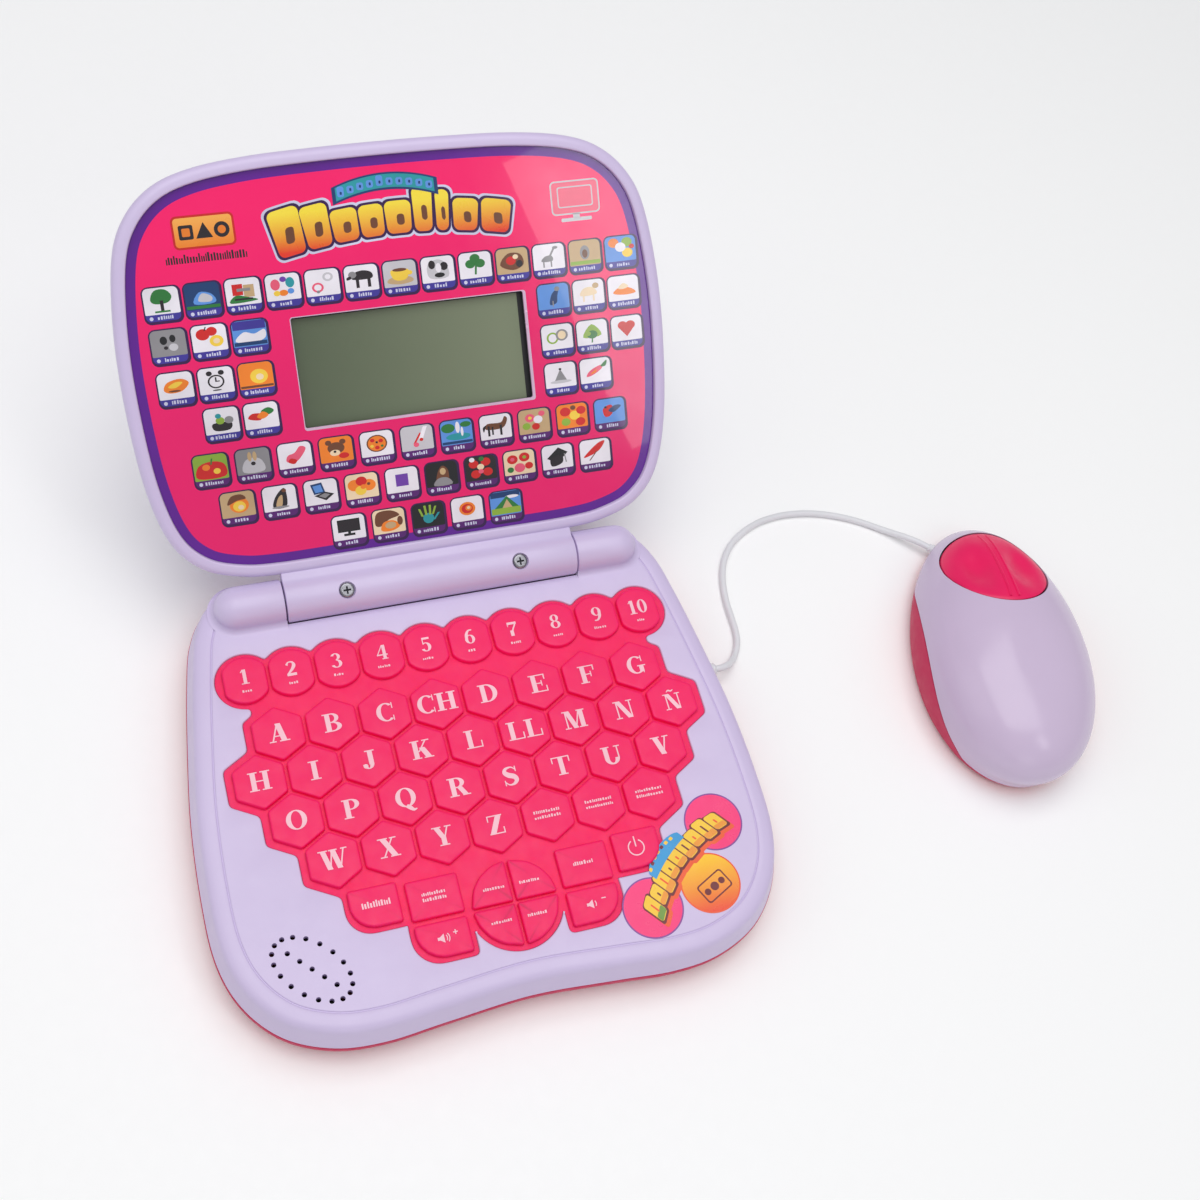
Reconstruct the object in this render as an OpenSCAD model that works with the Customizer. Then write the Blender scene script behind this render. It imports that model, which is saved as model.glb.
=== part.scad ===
// Toy laptop computer: a case with a keypad, a lid on a barrel hinge, and a corded mouse beside it.
// Millimetres. The origin is the middle of the case's central foot, on the plane it rests on; +Y is the hinge side.

/* [Case] */
// Width of the case at its widest
case_w = 194; // [192:1:198]
// Height of the flat deck above the table
deck_z = 24; // [23.8:0.1:24.2]
// Height of the seam between the top and bottom shells
seam_z = 12; // [11:0.5:12.5]
// Wall thickness of the case shells
wall_t = 2.6; // [2.2:0.1:2.8]

/* [Keypad] */
// Distance between the middles of neighbouring hexagonal keys
key_pitch = 18; // [17.8:0.1:18.1]
// Width of the groove between two hexagonal keys
key_groove = 1.1; // [0.9:0.1:1.4]
// How far the keys stand above the deck
key_rise = 1.4; // [1:0.1:1.6]
// How far the deck's opening runs past the keys
opening_margin = 2; // [1.6:0.1:2.2]

/* [Lid] */
// Width of the lid at its widest
lid_w = 187; // [184:1:188]
// Slope of the open lid above the table
lid_tilt = 42; // [40:1:60]
// Thickness of the closed lid
lid_t = 11; // [10:0.5:11]
// Width of the display window
window_w = 80; // [70:1:82]
// Height of the display window
window_h = 37; // [34:1:38]

/* [Hinge] */
// Radius of the lid's hinge barrel
barrel_r = 7.8; // [7.6:0.1:7.9]
// Radius of the hinge pins
pin_r = 2.5; // [2:0.1:3]
// Half length of the lid's barrel
barrel_half = 52; // [50:1:53]

/* [Mouse] */
// Length of the mouse
mouse_l = 108; // [104:1:110]
// Width of the mouse
mouse_w = 66; // [62:1:68]
// Height of the mouse
mouse_h = 36; // [34:1:38]
// Diameter of the mouse cord
cord_d = 2.5; // [2:0.1:3]

/* [Hidden] */
$fn = 48;

// Colours
LAVENDER = [0.84, 0.78, 0.91];
PINK = [1, 0.2, 0.42];
PALE_PINK = [1, 0.62, 0.72];
STEEL = [0.72, 0.72, 0.74];
BLACK = [0.1, 0.1, 0.12];
BOARD_GREEN = [0.16, 0.4, 0.2];
WHITE = [0.93, 0.93, 0.94];

// Case
case_half = case_w / 2;
floor_z = 1.5;
floor_t = 2;
ceiling_z = deck_z - 2.6;
// Right half of the case's outline, from the middle of the front round to the middle of the back.
// X is a share of the case's half width.
CASE_HALF_LINE = [
    [0, -76], [0.29, -77.8], [0.5, -79.3], [0.67, -77.5], [0.825, -70.5], [0.935, -58], [0.99, -42],
    [1, -20], [0.988, 6], [0.955, 32], [0.92, 54], [0.885, 69], [0.815, 80], [0.68, 84], [0.35, 84], [0, 84]
];
// Screw posts that hold the two shells together
CASE_POSTS = [[-30, 74], [30, 74], [-85, -9], [85, -9], [-30, -67.8], [30, -67.8]];
post_r = 3.3;
screw_r = 1.25;
screw_clear = 0.05;
// How far the case screws reach above the seam
screw_reach = 5;
head_r = 2.6;
// The middle foot takes the force of the typing
FEET = [[0, 0], [-62, -58], [62, -58], [-68, 68], [68, 68]];
foot_r = 6;
foot_h = 2.5;
foot_recess = 1;
// Posts that carry the main board
STANDOFFS = [[-66, -30], [66, -30], [-66, 44], [66, 44]];
standoff_r = 3;
standoff_hole_r = 1;

// Keypad
hex_flat = (key_pitch - key_groove) / 2;
row_pitch = key_pitch * sqrt(3) / 2;
first_row_y = 25.8;
key_top_z = deck_z + key_rise;
key_bottom_z = 19.4;
key_clear = 0.35;
stem_r = 3;
stem_h = 0.8;
mat_bottom_z = 19.4;
web_z = deck_z - 1.4;
board_z = 16;
board_t = 1.6;
// Letters row by row, each row centred on the case
LETTER_ROWS = [
    ["a", "b", "c", "ch", "d", "e", "f", "g"],
    ["h", "i", "j", "k", "l", "ll", "m", "n", "n_tilde"],
    ["o", "p", "q", "r", "s", "t", "u", "v"],
    ["w", "x", "y", "z"]
];
LETTER_KEYS = [for (row = LETTER_ROWS) for (name = row) str("key_", name)];
// The last row has three menu keys after its four letters
ROW_LENGTHS = [8, 9, 8, 7];
number_pitch = 15.6;
number_r = 8.6;
number_half_w = 7.3;
number_y = 47;
dial_r = 14.4;
dial_y = -47.6;
dial_groove = 1;

// Display
lcd_x = 3.5;
lcd_y = 76.7;

// Hinge axis, which is the lid frame's origin
hinge_y = 73.2;
hinge_z = 26.5;
knuckle_r = barrel_r - 0.3;
knuckle_end = 72.5;
barrel_clear = 0.5;
pin_inner = 40;
pin_outer = 66;
// Heights in the lid's own frame, where z = 0 is the plane through the hinge axis
rim_z = 2;
lid_seam_z = -3;
panel_t = 0.8;
panel_top_z = rim_z - 1.8;
plate_t = 1.5;
plate_z = panel_top_z - panel_t - plate_t;
rim_w = 4.2;
LID_HALF_LINE = [
    [0, 9.3], [0.27, 9.3], [0.55, 9.4], [0.7, 10.9], [0.83, 15.6], [0.925, 26], [0.979, 45], [1, 72],
    [0.995, 97], [0.96, 120], [0.898, 132.5], [0.797, 141], [0.663, 145.5], [0.47, 147.8], [0.235, 148.6], [0, 148.8]
];
LID_POSTS = [[-72, 40], [72, 40], [-76, 118], [76, 118]];
lid_post_r = 3;
peg_r = 0.95;
hinge_screw_x = 31;
// Direction of the hinge screws round the barrel, from the lid's plane
hinge_screw_angle = 74;

// Mouse
MOUSE_PLACE = [208.5, 10];
mouse_yaw = 10;
mouse_wide_z = 8;
mouse_lean = 12;
mouse_wall = 2;
button_x = -0.5;
button_y = 28.5;
button_rx = 20;
button_ry = 19;
button_gap = 0.6;
rocker_z = 20;
rocker_r = 1.6;
MOUSE_POSTS = [[0, -32], [0, 6]];
mouse_post_r = 2.8;
mouse_head_z = 1.1;
mouse_board_z = 6;
mouse_board_t = 1.4;
// Strain relief in the mouse's nose: its middle and the direction it points
MOUSE_GROMMET = [-10.7, 44.6, 5];
mouse_grommet_turn = 148;
mouse_grommet_r = 2.4;

// Cord, from the case's strain relief to the mouse's
cord_r = cord_d / 2;
cord_sides = 8;
CASE_EXIT = [97.5, 25.5, 8];
CORD_ROUTE = [
    [97.5, 25.5, 8], [100, 25.5, 8], [103, 26.6, 6.8], [105.6, 28.6, 4.2], [108.6, 31.6, 1.8],
    [111.4, 36.2, 1.3], [112.6, 41.5, 1.3], [112.8, 47.5, 1.3], [112.9, 53.5, 1.3], [113.6, 59.5, 1.3],
    [115, 65.5, 1.3], [117.4, 71.2, 1.3], [121, 76.3, 1.3], [125.6, 80.4, 1.3], [131, 83.4, 1.3],
    [136.8, 85.6, 1.3], [142.8, 86.7, 1.3], [149, 87, 1.3], [155.2, 86.5, 1.3], [161.4, 85.3, 1.3],
    [167.6, 83.4, 1.3], [173.6, 80.9, 1.3], [179.4, 77.8, 1.3], [184.6, 74.3, 1.5], [189.2, 70.6, 2.6],
    [193.2, 67.0, 4.1], [196.8, 63.8, 4.9], [200.5, 60.47, 5]
];

// ---- Outlines ----

function unit(v) = v / norm(v);
function flip_x(p) = [-p[0], p[1]];

// A point on the smooth line from b to c, with a and d its neighbours
function smooth(a, b, c, d, t) =
    0.5 * (2 * b + (c - a) * t + (2 * a - 5 * b + 4 * c - d) * t * t + (3 * b - a - 3 * c + d) * t * t * t);

// A smooth right half through the points h, whose X values are shares of half_w
function half_line(h, half_w, steps) =
    let (c = [for (p = h) [p[0] * half_w, p[1]]], last = len(h) - 1)
    concat(
        [for (i = [0:last - 1], j = [0:steps - 1])
            smooth(i == 0 ? flip_x(c[1]) : c[i - 1], c[i], c[i + 1],
                i == last - 1 ? flip_x(c[i]) : c[i + 2], j / steps)],
        [c[last]]
    );

// The right half and its mirror image, anticlockwise
function whole_line(half) = concat(half, [for (i = [len(half) - 2:-1:1]) flip_x(half[i])]);

// A closed anticlockwise line moved inwards by d
function inset(line, d) =
    let (n = len(line))
    [for (i = [0:n - 1])
        let (along = unit(line[(i + 1) % n] - line[(i + n - 1) % n]))
        line[i] + d * [-along[1], along[0]]];

// A convex corner at b rounded to radius r in the given number of steps
function round_corner(a, b, c, r, steps) =
    let (
        u = unit(a - b), w = unit(c - b),
        half_angle = acos(u * w) / 2,
        middle = b + unit(u + w) * r / sin(half_angle),
        from = b + u * r / tan(half_angle) - middle,
        to = b + w * r / tan(half_angle) - middle
    )
    [for (k = [0:steps]) middle + r * unit(from * (1 - k / steps) + to * (k / steps))];

function round_polygon(corners, r, steps) =
    let (n = len(corners))
    [for (i = [0:n - 1]) each round_corner(corners[(i + n - 1) % n], corners[i], corners[(i + 1) % n],
        r[i], steps)];

function moved(line, by) = [for (p = line) p + by];

CASE_LINE = whole_line(half_line(CASE_HALF_LINE, case_half, 3));
LID_LINE = whole_line(half_line(LID_HALF_LINE, lid_w / 2, 3));

// ---- Key outlines, each about its own middle ----

function hexagon(flat) = [for (i = [0:5]) flat / cos(30) * [cos(90 + 60 * i), sin(90 + 60 * i)]];
function hex_line(grow) = round_polygon(hexagon(hex_flat + grow), [for (i = [0:5]) 1.4], 2);

// A round key with its sides cut straight
function number_line(grow) =
    let (r = number_r + grow, start = acos((number_half_w + grow) / r), steps = 8)
    [for (turn = [0, 180], k = [0:steps])
        let (a = turn + start + k * (180 - 2 * start) / steps) r * [cos(a), sin(a)]];

// A rectangle between two corners, with its lower outer corner rounded more; side is 1 right, -1 left
function tab_line(low, high, side, r_outer, grow) =
    let (
        a = low - [grow, grow], b = high + [grow, grow],
        right = round_polygon([a, [b[0], a[1]], b, [a[0], b[1]]], [1, r_outer, 1, 1], 4)
    )
    side > 0 ? right : [for (i = [len(right) - 1:-1:0]) flip_x(right[i])];

MENU_TAB = [[16.6, -46.8], [34, -33.6]];
OUTER_TAB = [[36.4, -45.6], [52.4, -32.4]];
VOLUME_TAB = [[16.6, -60], [34, -48.4]];

function menu_tab_line(side, grow) = tab_line(MENU_TAB[0], MENU_TAB[1], side, 1, grow);
function outer_tab_line(side, grow) = tab_line(OUTER_TAB[0], OUTER_TAB[1], side, 8, grow);
function volume_tab_line(side, grow) = tab_line(VOLUME_TAB[0], VOLUME_TAB[1], side, 9, grow);

// The quarter of the round dial between angles 0 and 90
function dial_quarter_line(grow) =
    let (g = dial_groove / 2 - grow, r = dial_r + grow, start = asin(g / r))
    concat([[g, g]], [for (k = [0:8]) let (a = start + k * (90 - 2 * start) / 8) r * [cos(a), sin(a)]]);

// ---- Key places ----

function letter_place(row, i) = [
    (i - (ROW_LENGTHS[row] - 1) / 2) * key_pitch,
    first_row_y - row * row_pitch
];
function number_place(i) = [(i - 4.5) * number_pitch, number_y];

// ---- Solids from outlines ----

// The middle of an outline's box
function middle_of(line) =
    let (x = [for (p = line) p[0]], y = [for (p = line) p[1]])
    [(min(x) + max(x)) / 2, (min(y) + max(y)) / 2];

// A closed solid through a list of [outline, height] rings, lowest first, its flat ends fanned from their middles
module loft(rings) {
    n = len(rings[0][0]);
    m = len(rings);
    ends = [for (ring = [rings[0], rings[m - 1]]) let (c = middle_of(ring[0])) [c[0], c[1], ring[1]]];
    polyhedron(
        points = concat([for (ring = rings) for (p = ring[0]) [p[0], p[1], ring[1]]], ends),
        faces = concat(
            [for (i = [0:n - 1]) [m * n, i, (i + 1) % n]],
            [for (i = [0:n - 1]) [m * n + 1, (m - 1) * n + (i + 1) % n, (m - 1) * n + i]],
            [for (r = [0:m - 2], i = [0:n - 1])
                let (a = r * n + i, b = r * n + (i + 1) % n) each [[a, a + n, b + n], [a, b + n, b]]]
        )
    );
}

module slab(line, low, high) {
    translate([0, 0, low]) linear_extrude(high - low) polygon(line);
}

module cylinder_x(r, from, to) {
    translate([from, 0, 0]) rotate([0, 90, 0]) cylinder(r = r, h = to - from);
}

// A key cap with a softened top edge and a stem under it
module cap(line, middle) {
    loft([[line, key_bottom_z], [line, key_top_z - 1.2], [inset(line, 0.35), key_top_z - 0.4],
        [inset(line, 1.2), key_top_z]]);
    translate([middle[0], middle[1], key_bottom_z - stem_h])
        cylinder(r = stem_r, h = stem_h, $fn = 8);
}

// The keypad's opening, made of every key's outline grown and joined
module keypad_outline(grow) {
    hex_opening = hexagon(hex_flat + grow + 0.5);
    for (row = [0:3], i = [0, ROW_LENGTHS[row] - 1])
        polygon(moved(hex_opening, letter_place(row, i)));
    for (row = [0:3]) {
        half = (ROW_LENGTHS[row] - 1) / 2 * key_pitch;
        polygon([
            [-half, first_row_y - row * row_pitch - 10], [half, first_row_y - row * row_pitch - 10],
            [half, first_row_y - row * row_pitch + 10], [-half, first_row_y - row * row_pitch + 10]
        ]);
    }
    for (i = [0:9])
        polygon(moved([for (a = [0:12:348]) (number_r - 0.4 + grow) * [cos(a), sin(a)]], number_place(i)));
    neck_w = 4.5 * number_pitch;
    polygon([[-neck_w, 30], [neck_w, 30], [neck_w, number_y], [-neck_w, number_y]]);
    for (side = [-1, 1]) {
        polygon(outer_tab_line(side, grow - 0.4));
        polygon(volume_tab_line(side, grow - 0.4));
    }
    polygon([[-35, -47], [35, -47], [44, -26], [-44, -26]]);
    polygon(moved([for (a = [0:10:350]) (dial_r - 0.4 + grow) * [cos(a), sin(a)]], [0, dial_y]));
}

// ---- Case ----

// A knuckle of the case that carries one end of the hinge
module knuckle(side) {
    translate([0, hinge_y, hinge_z]) {
        from = barrel_half + barrel_clear;
        cylinder_x(knuckle_r, side > 0 ? from : -knuckle_end, side > 0 ? knuckle_end : -from);
        translate([side * knuckle_end, 0, 0]) sphere(r = knuckle_r);
    }
}

// The trough under the lid's barrel
module trough_wall() {
    trough_half = barrel_half + 2.5;
    intersection() {
        translate([0, hinge_y, hinge_z])
            cylinder_x(barrel_r + barrel_clear + 1.6, -trough_half, trough_half);
        translate([-trough_half, hinge_y - 15, 0]) cube([2 * trough_half, 24, deck_z - 1]);
    }
}

speaker_place = [-67.5, -54];
speaker_r = 12;
magnet_r = 9;
magnet_h = 6;
speaker_low = floor_z + floor_t + 1;
grille_long = 14;
grille_short = 8;
grille_hole_r = 0.85;

module grille_holes() {
    translate([speaker_place[0], speaker_place[1], deck_z - 5]) rotate([0, 0, -45]) {
        for (k = [0:17])
            translate([grille_long * cos(k * 20), grille_short * sin(k * 20), 0])
                cylinder(r = grille_hole_r, h = 8, $fn = 16);
        for (k = [-2:2])
            translate([k * 4.6, 0, 0]) cylinder(r = grille_hole_r, h = 8, $fn = 16);
    }
}

module base_top_shell() {
    color(LAVENDER) difference() {
        union() {
            difference() {
                loft([
                    [CASE_LINE, seam_z], [CASE_LINE, deck_z - 6.5], [inset(CASE_LINE, 0.8), deck_z - 3.5],
                    [inset(CASE_LINE, 2.6), deck_z - 1.6], [inset(CASE_LINE, 5.2), deck_z - 0.6],
                    [inset(CASE_LINE, 8.5), deck_z]
                ]);
                slab(inset(CASE_LINE, wall_t), seam_z - 1, ceiling_z);
            }
            for (side = [-1, 1]) knuckle(side);
            trough_wall();
            for (p = CASE_POSTS) translate([p[0], p[1], seam_z]) cylinder(r = post_r, h = ceiling_z - seam_z + 0.5);
        }
        translate([0, hinge_y, hinge_z]) {
            reach = barrel_half + barrel_clear;
            cylinder_x(barrel_r + barrel_clear, -reach, reach);
            cylinder_x(pin_r, reach - 1, pin_outer);
            cylinder_x(pin_r, -pin_outer, -reach + 1);
        }
        translate([0, 0, deck_z - 5]) linear_extrude(8) keypad_outline(opening_margin);
        grille_holes();
        for (p = CASE_POSTS)
            translate([p[0], p[1], seam_z - 1]) cylinder(r = screw_r + screw_clear, h = screw_reach + 1.5);
    }
}

battery_place = [10, 30];
battery_box = [54, 36, 13];
cell_r = 5.2;
cell_l = 44.5;
cell_pitch = 11;
door_size = [60, 42];
door_t = 1.5;
DOOR_SCREW = battery_place - [0, door_size[1] / 2 - 2.2];
door_screw_l = 4.5;
grommet_r = 3;
flange_r = 4.2;
grommet_wall_x = 90;

module centred_box(size, at, low) {
    translate([at[0] - size[0] / 2, at[1] - size[1] / 2, low]) cube(size);
}

module base_bottom_shell() {
    well_t = 1.4;
    well_top = floor_z + floor_t + 11;
    color(PINK) difference() {
        union() {
            difference() {
                loft([
                    [inset(CASE_LINE, 5.2), floor_z], [inset(CASE_LINE, 3.4), floor_z + 1.4],
                    [inset(CASE_LINE, 1.9), floor_z + 4], [inset(CASE_LINE, 1.1), floor_z + 7.5],
                    [inset(CASE_LINE, 0.8), seam_z]
                ]);
                slab(inset(CASE_LINE, 9.6), floor_z + floor_t, seam_z + 1);
                slab(inset(CASE_LINE, 4.4), floor_z + floor_t + 3.5, seam_z + 1);
            }
            for (p = CASE_POSTS) translate([p[0], p[1], floor_z + 1]) cylinder(r = post_r, h = seam_z - floor_z - 1);
            centred_box([battery_box[0] + 2 * well_t, battery_box[1] + 2 * well_t, well_top + well_t - floor_z - 1],
                battery_place, floor_z + 1);
            for (p = STANDOFFS)
                translate([p[0], p[1], floor_z + 1]) cylinder(r = standoff_r, h = board_z - floor_z - 1);
            translate([speaker_place[0], speaker_place[1], floor_z + 1])
                cylinder(r = magnet_r + 2, h = speaker_low + magnet_h - floor_z - 1);
        }
        centred_box([battery_box[0], battery_box[1], well_top - floor_z + 1], battery_place, floor_z - 1);
        centred_box([door_size[0] + 0.4, door_size[1] + 0.4, door_t + 1], battery_place, floor_z - 1);
        for (p = CASE_POSTS) translate([p[0], p[1], 0]) {
            cylinder(r = screw_r + 0.35, h = seam_z + 1);
            cylinder(r = head_r + 0.3, h = floor_z + 3.5);
        }
        for (p = FEET) translate([p[0], p[1], 0]) cylinder(r = foot_r, h = floor_z + foot_recess);
        translate([speaker_place[0], speaker_place[1], floor_z + floor_t]) cylinder(r = magnet_r + 0.5, h = 10);
        translate([0, CASE_EXIT[1], CASE_EXIT[2]]) {
            cylinder_x(grommet_r, 80, 100);
            cylinder_x(flange_r + 0.2, 80, grommet_wall_x - 1.7);
        }
        translate([DOOR_SCREW[0], DOOR_SCREW[1], 0])
            cylinder(r = screw_r + screw_clear, h = floor_z + door_screw_l + 1);
    }
}

module battery_door() {
    color(PINK) difference() {
        union() {
            centred_box([door_size[0], door_size[1], door_t], battery_place, floor_z);
            for (x = [-18, 18])
                centred_box([8, 1.2, 4], battery_place + [x, battery_box[1] / 2 - 1], floor_z);
        }
        translate([DOOR_SCREW[0], DOOR_SCREW[1], 0]) cylinder(r = screw_r + 0.15, h = 5);
    }
}

module battery_cells() {
    color(BLACK) for (i = [-1:1])
        translate([battery_place[0], battery_place[1] + i * cell_pitch, floor_z + door_t + 0.6 + cell_r]) {
            cylinder_x(cell_r, -cell_l / 2, cell_l / 2 - 1);
            cylinder_x(1.9, cell_l / 2 - 1, cell_l / 2);
        }
}

// A spring and a flat plate for each cell, at the ends of the battery well
module battery_contacts() {
    end = battery_box[0] / 2;
    cell_z = floor_z + door_t + 0.6 + cell_r;
    color(STEEL) for (i = [-1:1])
        translate([battery_place[0], battery_place[1] + i * cell_pitch, cell_z]) {
            translate([end - 0.5, -4, -4]) cube([0.5, 8, 8]);
            cylinder_x(1.6, cell_l / 2, end - 0.5);
            translate([-end, -4, -4]) cube([0.5, 8, 8]);
            for (k = [0:2]) cylinder_x(3.6 - k * 0.6, -end + 0.5 + k * 1.4, -end + 1.9 + k * 1.4);
        }
}

BOARD_LINE = [
    [-78, -30], [-52, -42], [-52, -50], [-36, -62], [36, -62], [52, -50], [78, -30], [78, 56], [-78, 56]
];

module main_board() {
    color(BOARD_GREEN) difference() {
        union() {
            slab(BOARD_LINE, board_z, board_z + board_t);
            centred_box([18, 12, 1.4], [-24, -16], board_z - 1.4);
            centred_box([10, 10, 1.2], [-44, 24], board_z - 1.2);
            for (x = [-52, -58, -64]) translate([x, 4, board_z - 7]) cylinder(r = 2.2, h = 7);
        }
        for (p = STANDOFFS) translate([p[0], p[1], board_z - 1]) cylinder(r = standoff_hole_r, h = 4);
    }
}

module key_holes(grow) {
    for (row = [0:3], i = [0:ROW_LENGTHS[row] - 1]) polygon(moved(hex_line(grow), letter_place(row, i)));
    for (i = [0:9]) polygon(moved(number_line(grow), number_place(i)));
    for (side = [-1, 1]) {
        polygon(menu_tab_line(side, grow));
        polygon(outer_tab_line(side, grow));
        polygon(volume_tab_line(side, grow));
    }
    for (q = [0:3]) translate([0, dial_y]) rotate(90 * q) polygon(dial_quarter_line(grow));
}

// The soft sheet that carries the keys, with its web showing in the grooves between them
module key_mat() {
    sheet = [
        [-30, -64], [30, -64], [37, -58], [38, -50], [55, -49], [57, -32], [68, -28], [68, -18], [77, -14],
        [77, -2], [86, 2], [86, 18], [78, 20], [78, 32], [82.5, 36], [82.5, 58.5], [-82.5, 58.5], [-82.5, 36],
        [-78, 32], [-78, 20], [-86, 18], [-86, 2], [-77, -2], [-77, -14], [-68, -18], [-68, -28], [-57, -32],
        [-55, -49], [-38, -50], [-37, -58]
    ];
    color(PINK) difference() {
        union() {
            slab(sheet, mat_bottom_z, ceiling_z);
            translate([0, 0, ceiling_z]) linear_extrude(web_z - ceiling_z) keypad_outline(opening_margin - 0.4);
        }
        translate([0, 0, mat_bottom_z - 1]) linear_extrude(6) key_holes(key_clear);
    }
}

module speaker() {
    top = mat_bottom_z - 0.6;
    cone_low = speaker_low + magnet_h;
    color(BLACK) translate([speaker_place[0], speaker_place[1], 0]) {
        translate([0, 0, speaker_low]) cylinder(r = magnet_r, h = magnet_h);
        difference() {
            translate([0, 0, cone_low]) cylinder(r1 = magnet_r, r2 = speaker_r, h = top - cone_low);
            translate([0, 0, top - 2]) cylinder(r = speaker_r - 2, h = 3);
        }
    }
}

module rubber_feet() {
    color(BLACK) for (p = FEET) translate([p[0], p[1], 0]) cylinder(r = foot_r - 0.1, h = foot_h);
}

module case_screws() {
    color(STEEL) {
        for (p = CASE_POSTS) translate([p[0], p[1], 0]) {
            translate([0, 0, floor_z + 1.6]) cylinder(r = head_r, h = 1.9);
            translate([0, 0, floor_z + 3.5]) cylinder(r = screw_r, h = seam_z + screw_reach - floor_z - 3.5);
        }
        translate([DOOR_SCREW[0], DOOR_SCREW[1], 0]) {
            translate([0, 0, floor_z - 0.8]) cylinder(r = 2.2, h = 0.8);
            translate([0, 0, floor_z]) cylinder(r = screw_r, h = door_screw_l);
        }
    }
}

module cord_grommet() {
    wall_x = grommet_wall_x;
    color(WHITE) translate([0, CASE_EXIT[1], CASE_EXIT[2]]) difference() {
        union() {
            cylinder_x(flange_r, wall_x - 3.4, wall_x - 1.9);
            cylinder_x(grommet_r, wall_x - 1.9, wall_x + 4.5);
            translate([wall_x + 4.5, 0, 0]) rotate([0, 90, 0])
                cylinder(r1 = grommet_r, r2 = 1.8, h = CASE_EXIT[0] - wall_x - 4.5);
        }
        cylinder_x(cord_r * 0.8, wall_x - 4, CASE_EXIT[0] - 1);
    }
}

// A tube along the cord's route, one ring at each point
module mouse_cord() {
    n = len(CORD_ROUTE);
    rings = [for (i = [0:n - 1])
        let (
            along = unit(CORD_ROUTE[min(i + 1, n - 1)] - CORD_ROUTE[max(i - 1, 0)]),
            across = unit(cross(along, [0, 0, 1])),
            up = cross(across, along)
        )
        [for (k = [0:cord_sides - 1])
            let (a = 22.5 + k * 360 / cord_sides) CORD_ROUTE[i] + cord_r * (cos(a) * across + sin(a) * up)]];
    color(WHITE) polyhedron(
        points = [for (ring = rings) each ring],
        faces = concat(
            [[for (k = [0:cord_sides - 1]) k]],
            [[for (k = [cord_sides - 1:-1:0]) (n - 1) * cord_sides + k]],
            [for (i = [0:n - 2], k = [0:cord_sides - 1])
                let (a = i * cord_sides + k, b = i * cord_sides + (k + 1) % cord_sides)
                each [[a, a + cord_sides, b + cord_sides], [a, b + cord_sides, b]]]
        )
    );
}

module hinge_pins() {
    color(STEEL) translate([0, hinge_y, hinge_z]) {
        cylinder_x(pin_r, pin_inner, pin_outer);
        cylinder_x(pin_r, -pin_outer, -pin_inner);
    }
}

// A printed sticker of three overlapping discs with a slanting band
module badge_sticker() {
    color(PALE_PINK) translate([0, 0, deck_z]) linear_extrude(0.25) {
        translate([73, -35.5]) circle(r = 10.2);
        translate([44, -59.6]) circle(r = 10.4);
        translate([65.5, -55.8]) circle(r = 10.4);
        translate([59, -47.5]) rotate(40) square([44, 9], center = true);
    }
}

// ---- Lid, in its own frame: X across, Y up the lid, Z out of its face ----

module in_lid() {
    translate([0, hinge_y, hinge_z]) rotate([lid_tilt, 0, 0]) children();
}

// The neck's section, from the barrel's middle to the foot of the lid; it clears the deck when the lid is shut
NECK_SECTION = [
    [0, 0], [5.3, 5.7], [7.2, 2.6], [9.7, rim_z - 0.4], [10.4, rim_z - 1.5], [10.4, lid_seam_z + 0.4],
    [9.2, lid_seam_z - 0.4], [9.2, -5.5], [5.5, -5.5]
];

module lid_front_shell() {
    color(LAVENDER) in_lid() difference() {
        union() {
            difference() {
                loft([
                    [LID_LINE, lid_seam_z], [LID_LINE, rim_z - 2.4], [inset(LID_LINE, 0.4), rim_z - 1.2],
                    [inset(LID_LINE, 1.3), rim_z - 0.3], [inset(LID_LINE, 2.4), rim_z]
                ]);
                slab(inset(LID_LINE, rim_w), panel_top_z - panel_t, rim_z + 1);
                slab(inset(LID_LINE, 2.4), lid_seam_z - 1, plate_z);
            }
            cylinder_x(barrel_r, -barrel_half, barrel_half);
            rotate([90, 0, 90]) translate([0, 0, -barrel_half]) linear_extrude(2 * barrel_half) polygon(NECK_SECTION);
            for (p = LID_POSTS) translate([p[0], p[1], lid_seam_z]) cylinder(r = lid_post_r, h = plate_z - lid_seam_z + 0.5);
        }
        translate([lcd_x - window_w / 2, lcd_y - window_h / 2, plate_z - 1]) cube([window_w, window_h, 5]);
        for (side = [-1, 1]) {
            from = side > 0 ? pin_inner - 1 : -barrel_half - 1;
            cylinder_x(pin_r + 0.05, from, from + barrel_half - pin_inner + 2);
            translate([side * hinge_screw_x, 0, 0]) rotate([hinge_screw_angle - 90, 0, 0]) {
                cylinder(r = screw_r + screw_clear, h = barrel_r + 1);
                translate([0, 0, barrel_r - 1.6]) cylinder(r = head_r + 0.4, h = 5);
            }
        }
        for (p = LID_POSTS) translate([p[0], p[1], lid_seam_z - 1]) cylinder(r = peg_r + 0.05, h = 2);
    }
}

module lid_back_shell() {
    back_z = rim_z - lid_t;
    color(LAVENDER) in_lid() {
        difference() {
            loft([
                [inset(LID_LINE, 12), back_z], [inset(LID_LINE, 8.5), back_z + 0.4],
                [inset(LID_LINE, 4.8), back_z + 1.7], [inset(LID_LINE, 2.2), back_z + 3.8],
                [inset(LID_LINE, 0.9), lid_seam_z]
            ]);
            slab(inset(LID_LINE, 6.4), back_z + 1.8, lid_seam_z + 1);
        }
        // Posts with pegs that push into the front shell's posts
        for (p = LID_POSTS) translate([p[0], p[1], back_z + 1]) {
            cylinder(r = lid_post_r, h = lid_seam_z - back_z - 1);
            cylinder(r = peg_r, h = lid_seam_z - back_z - 1 + 0.9);
        }
    }
}

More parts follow.
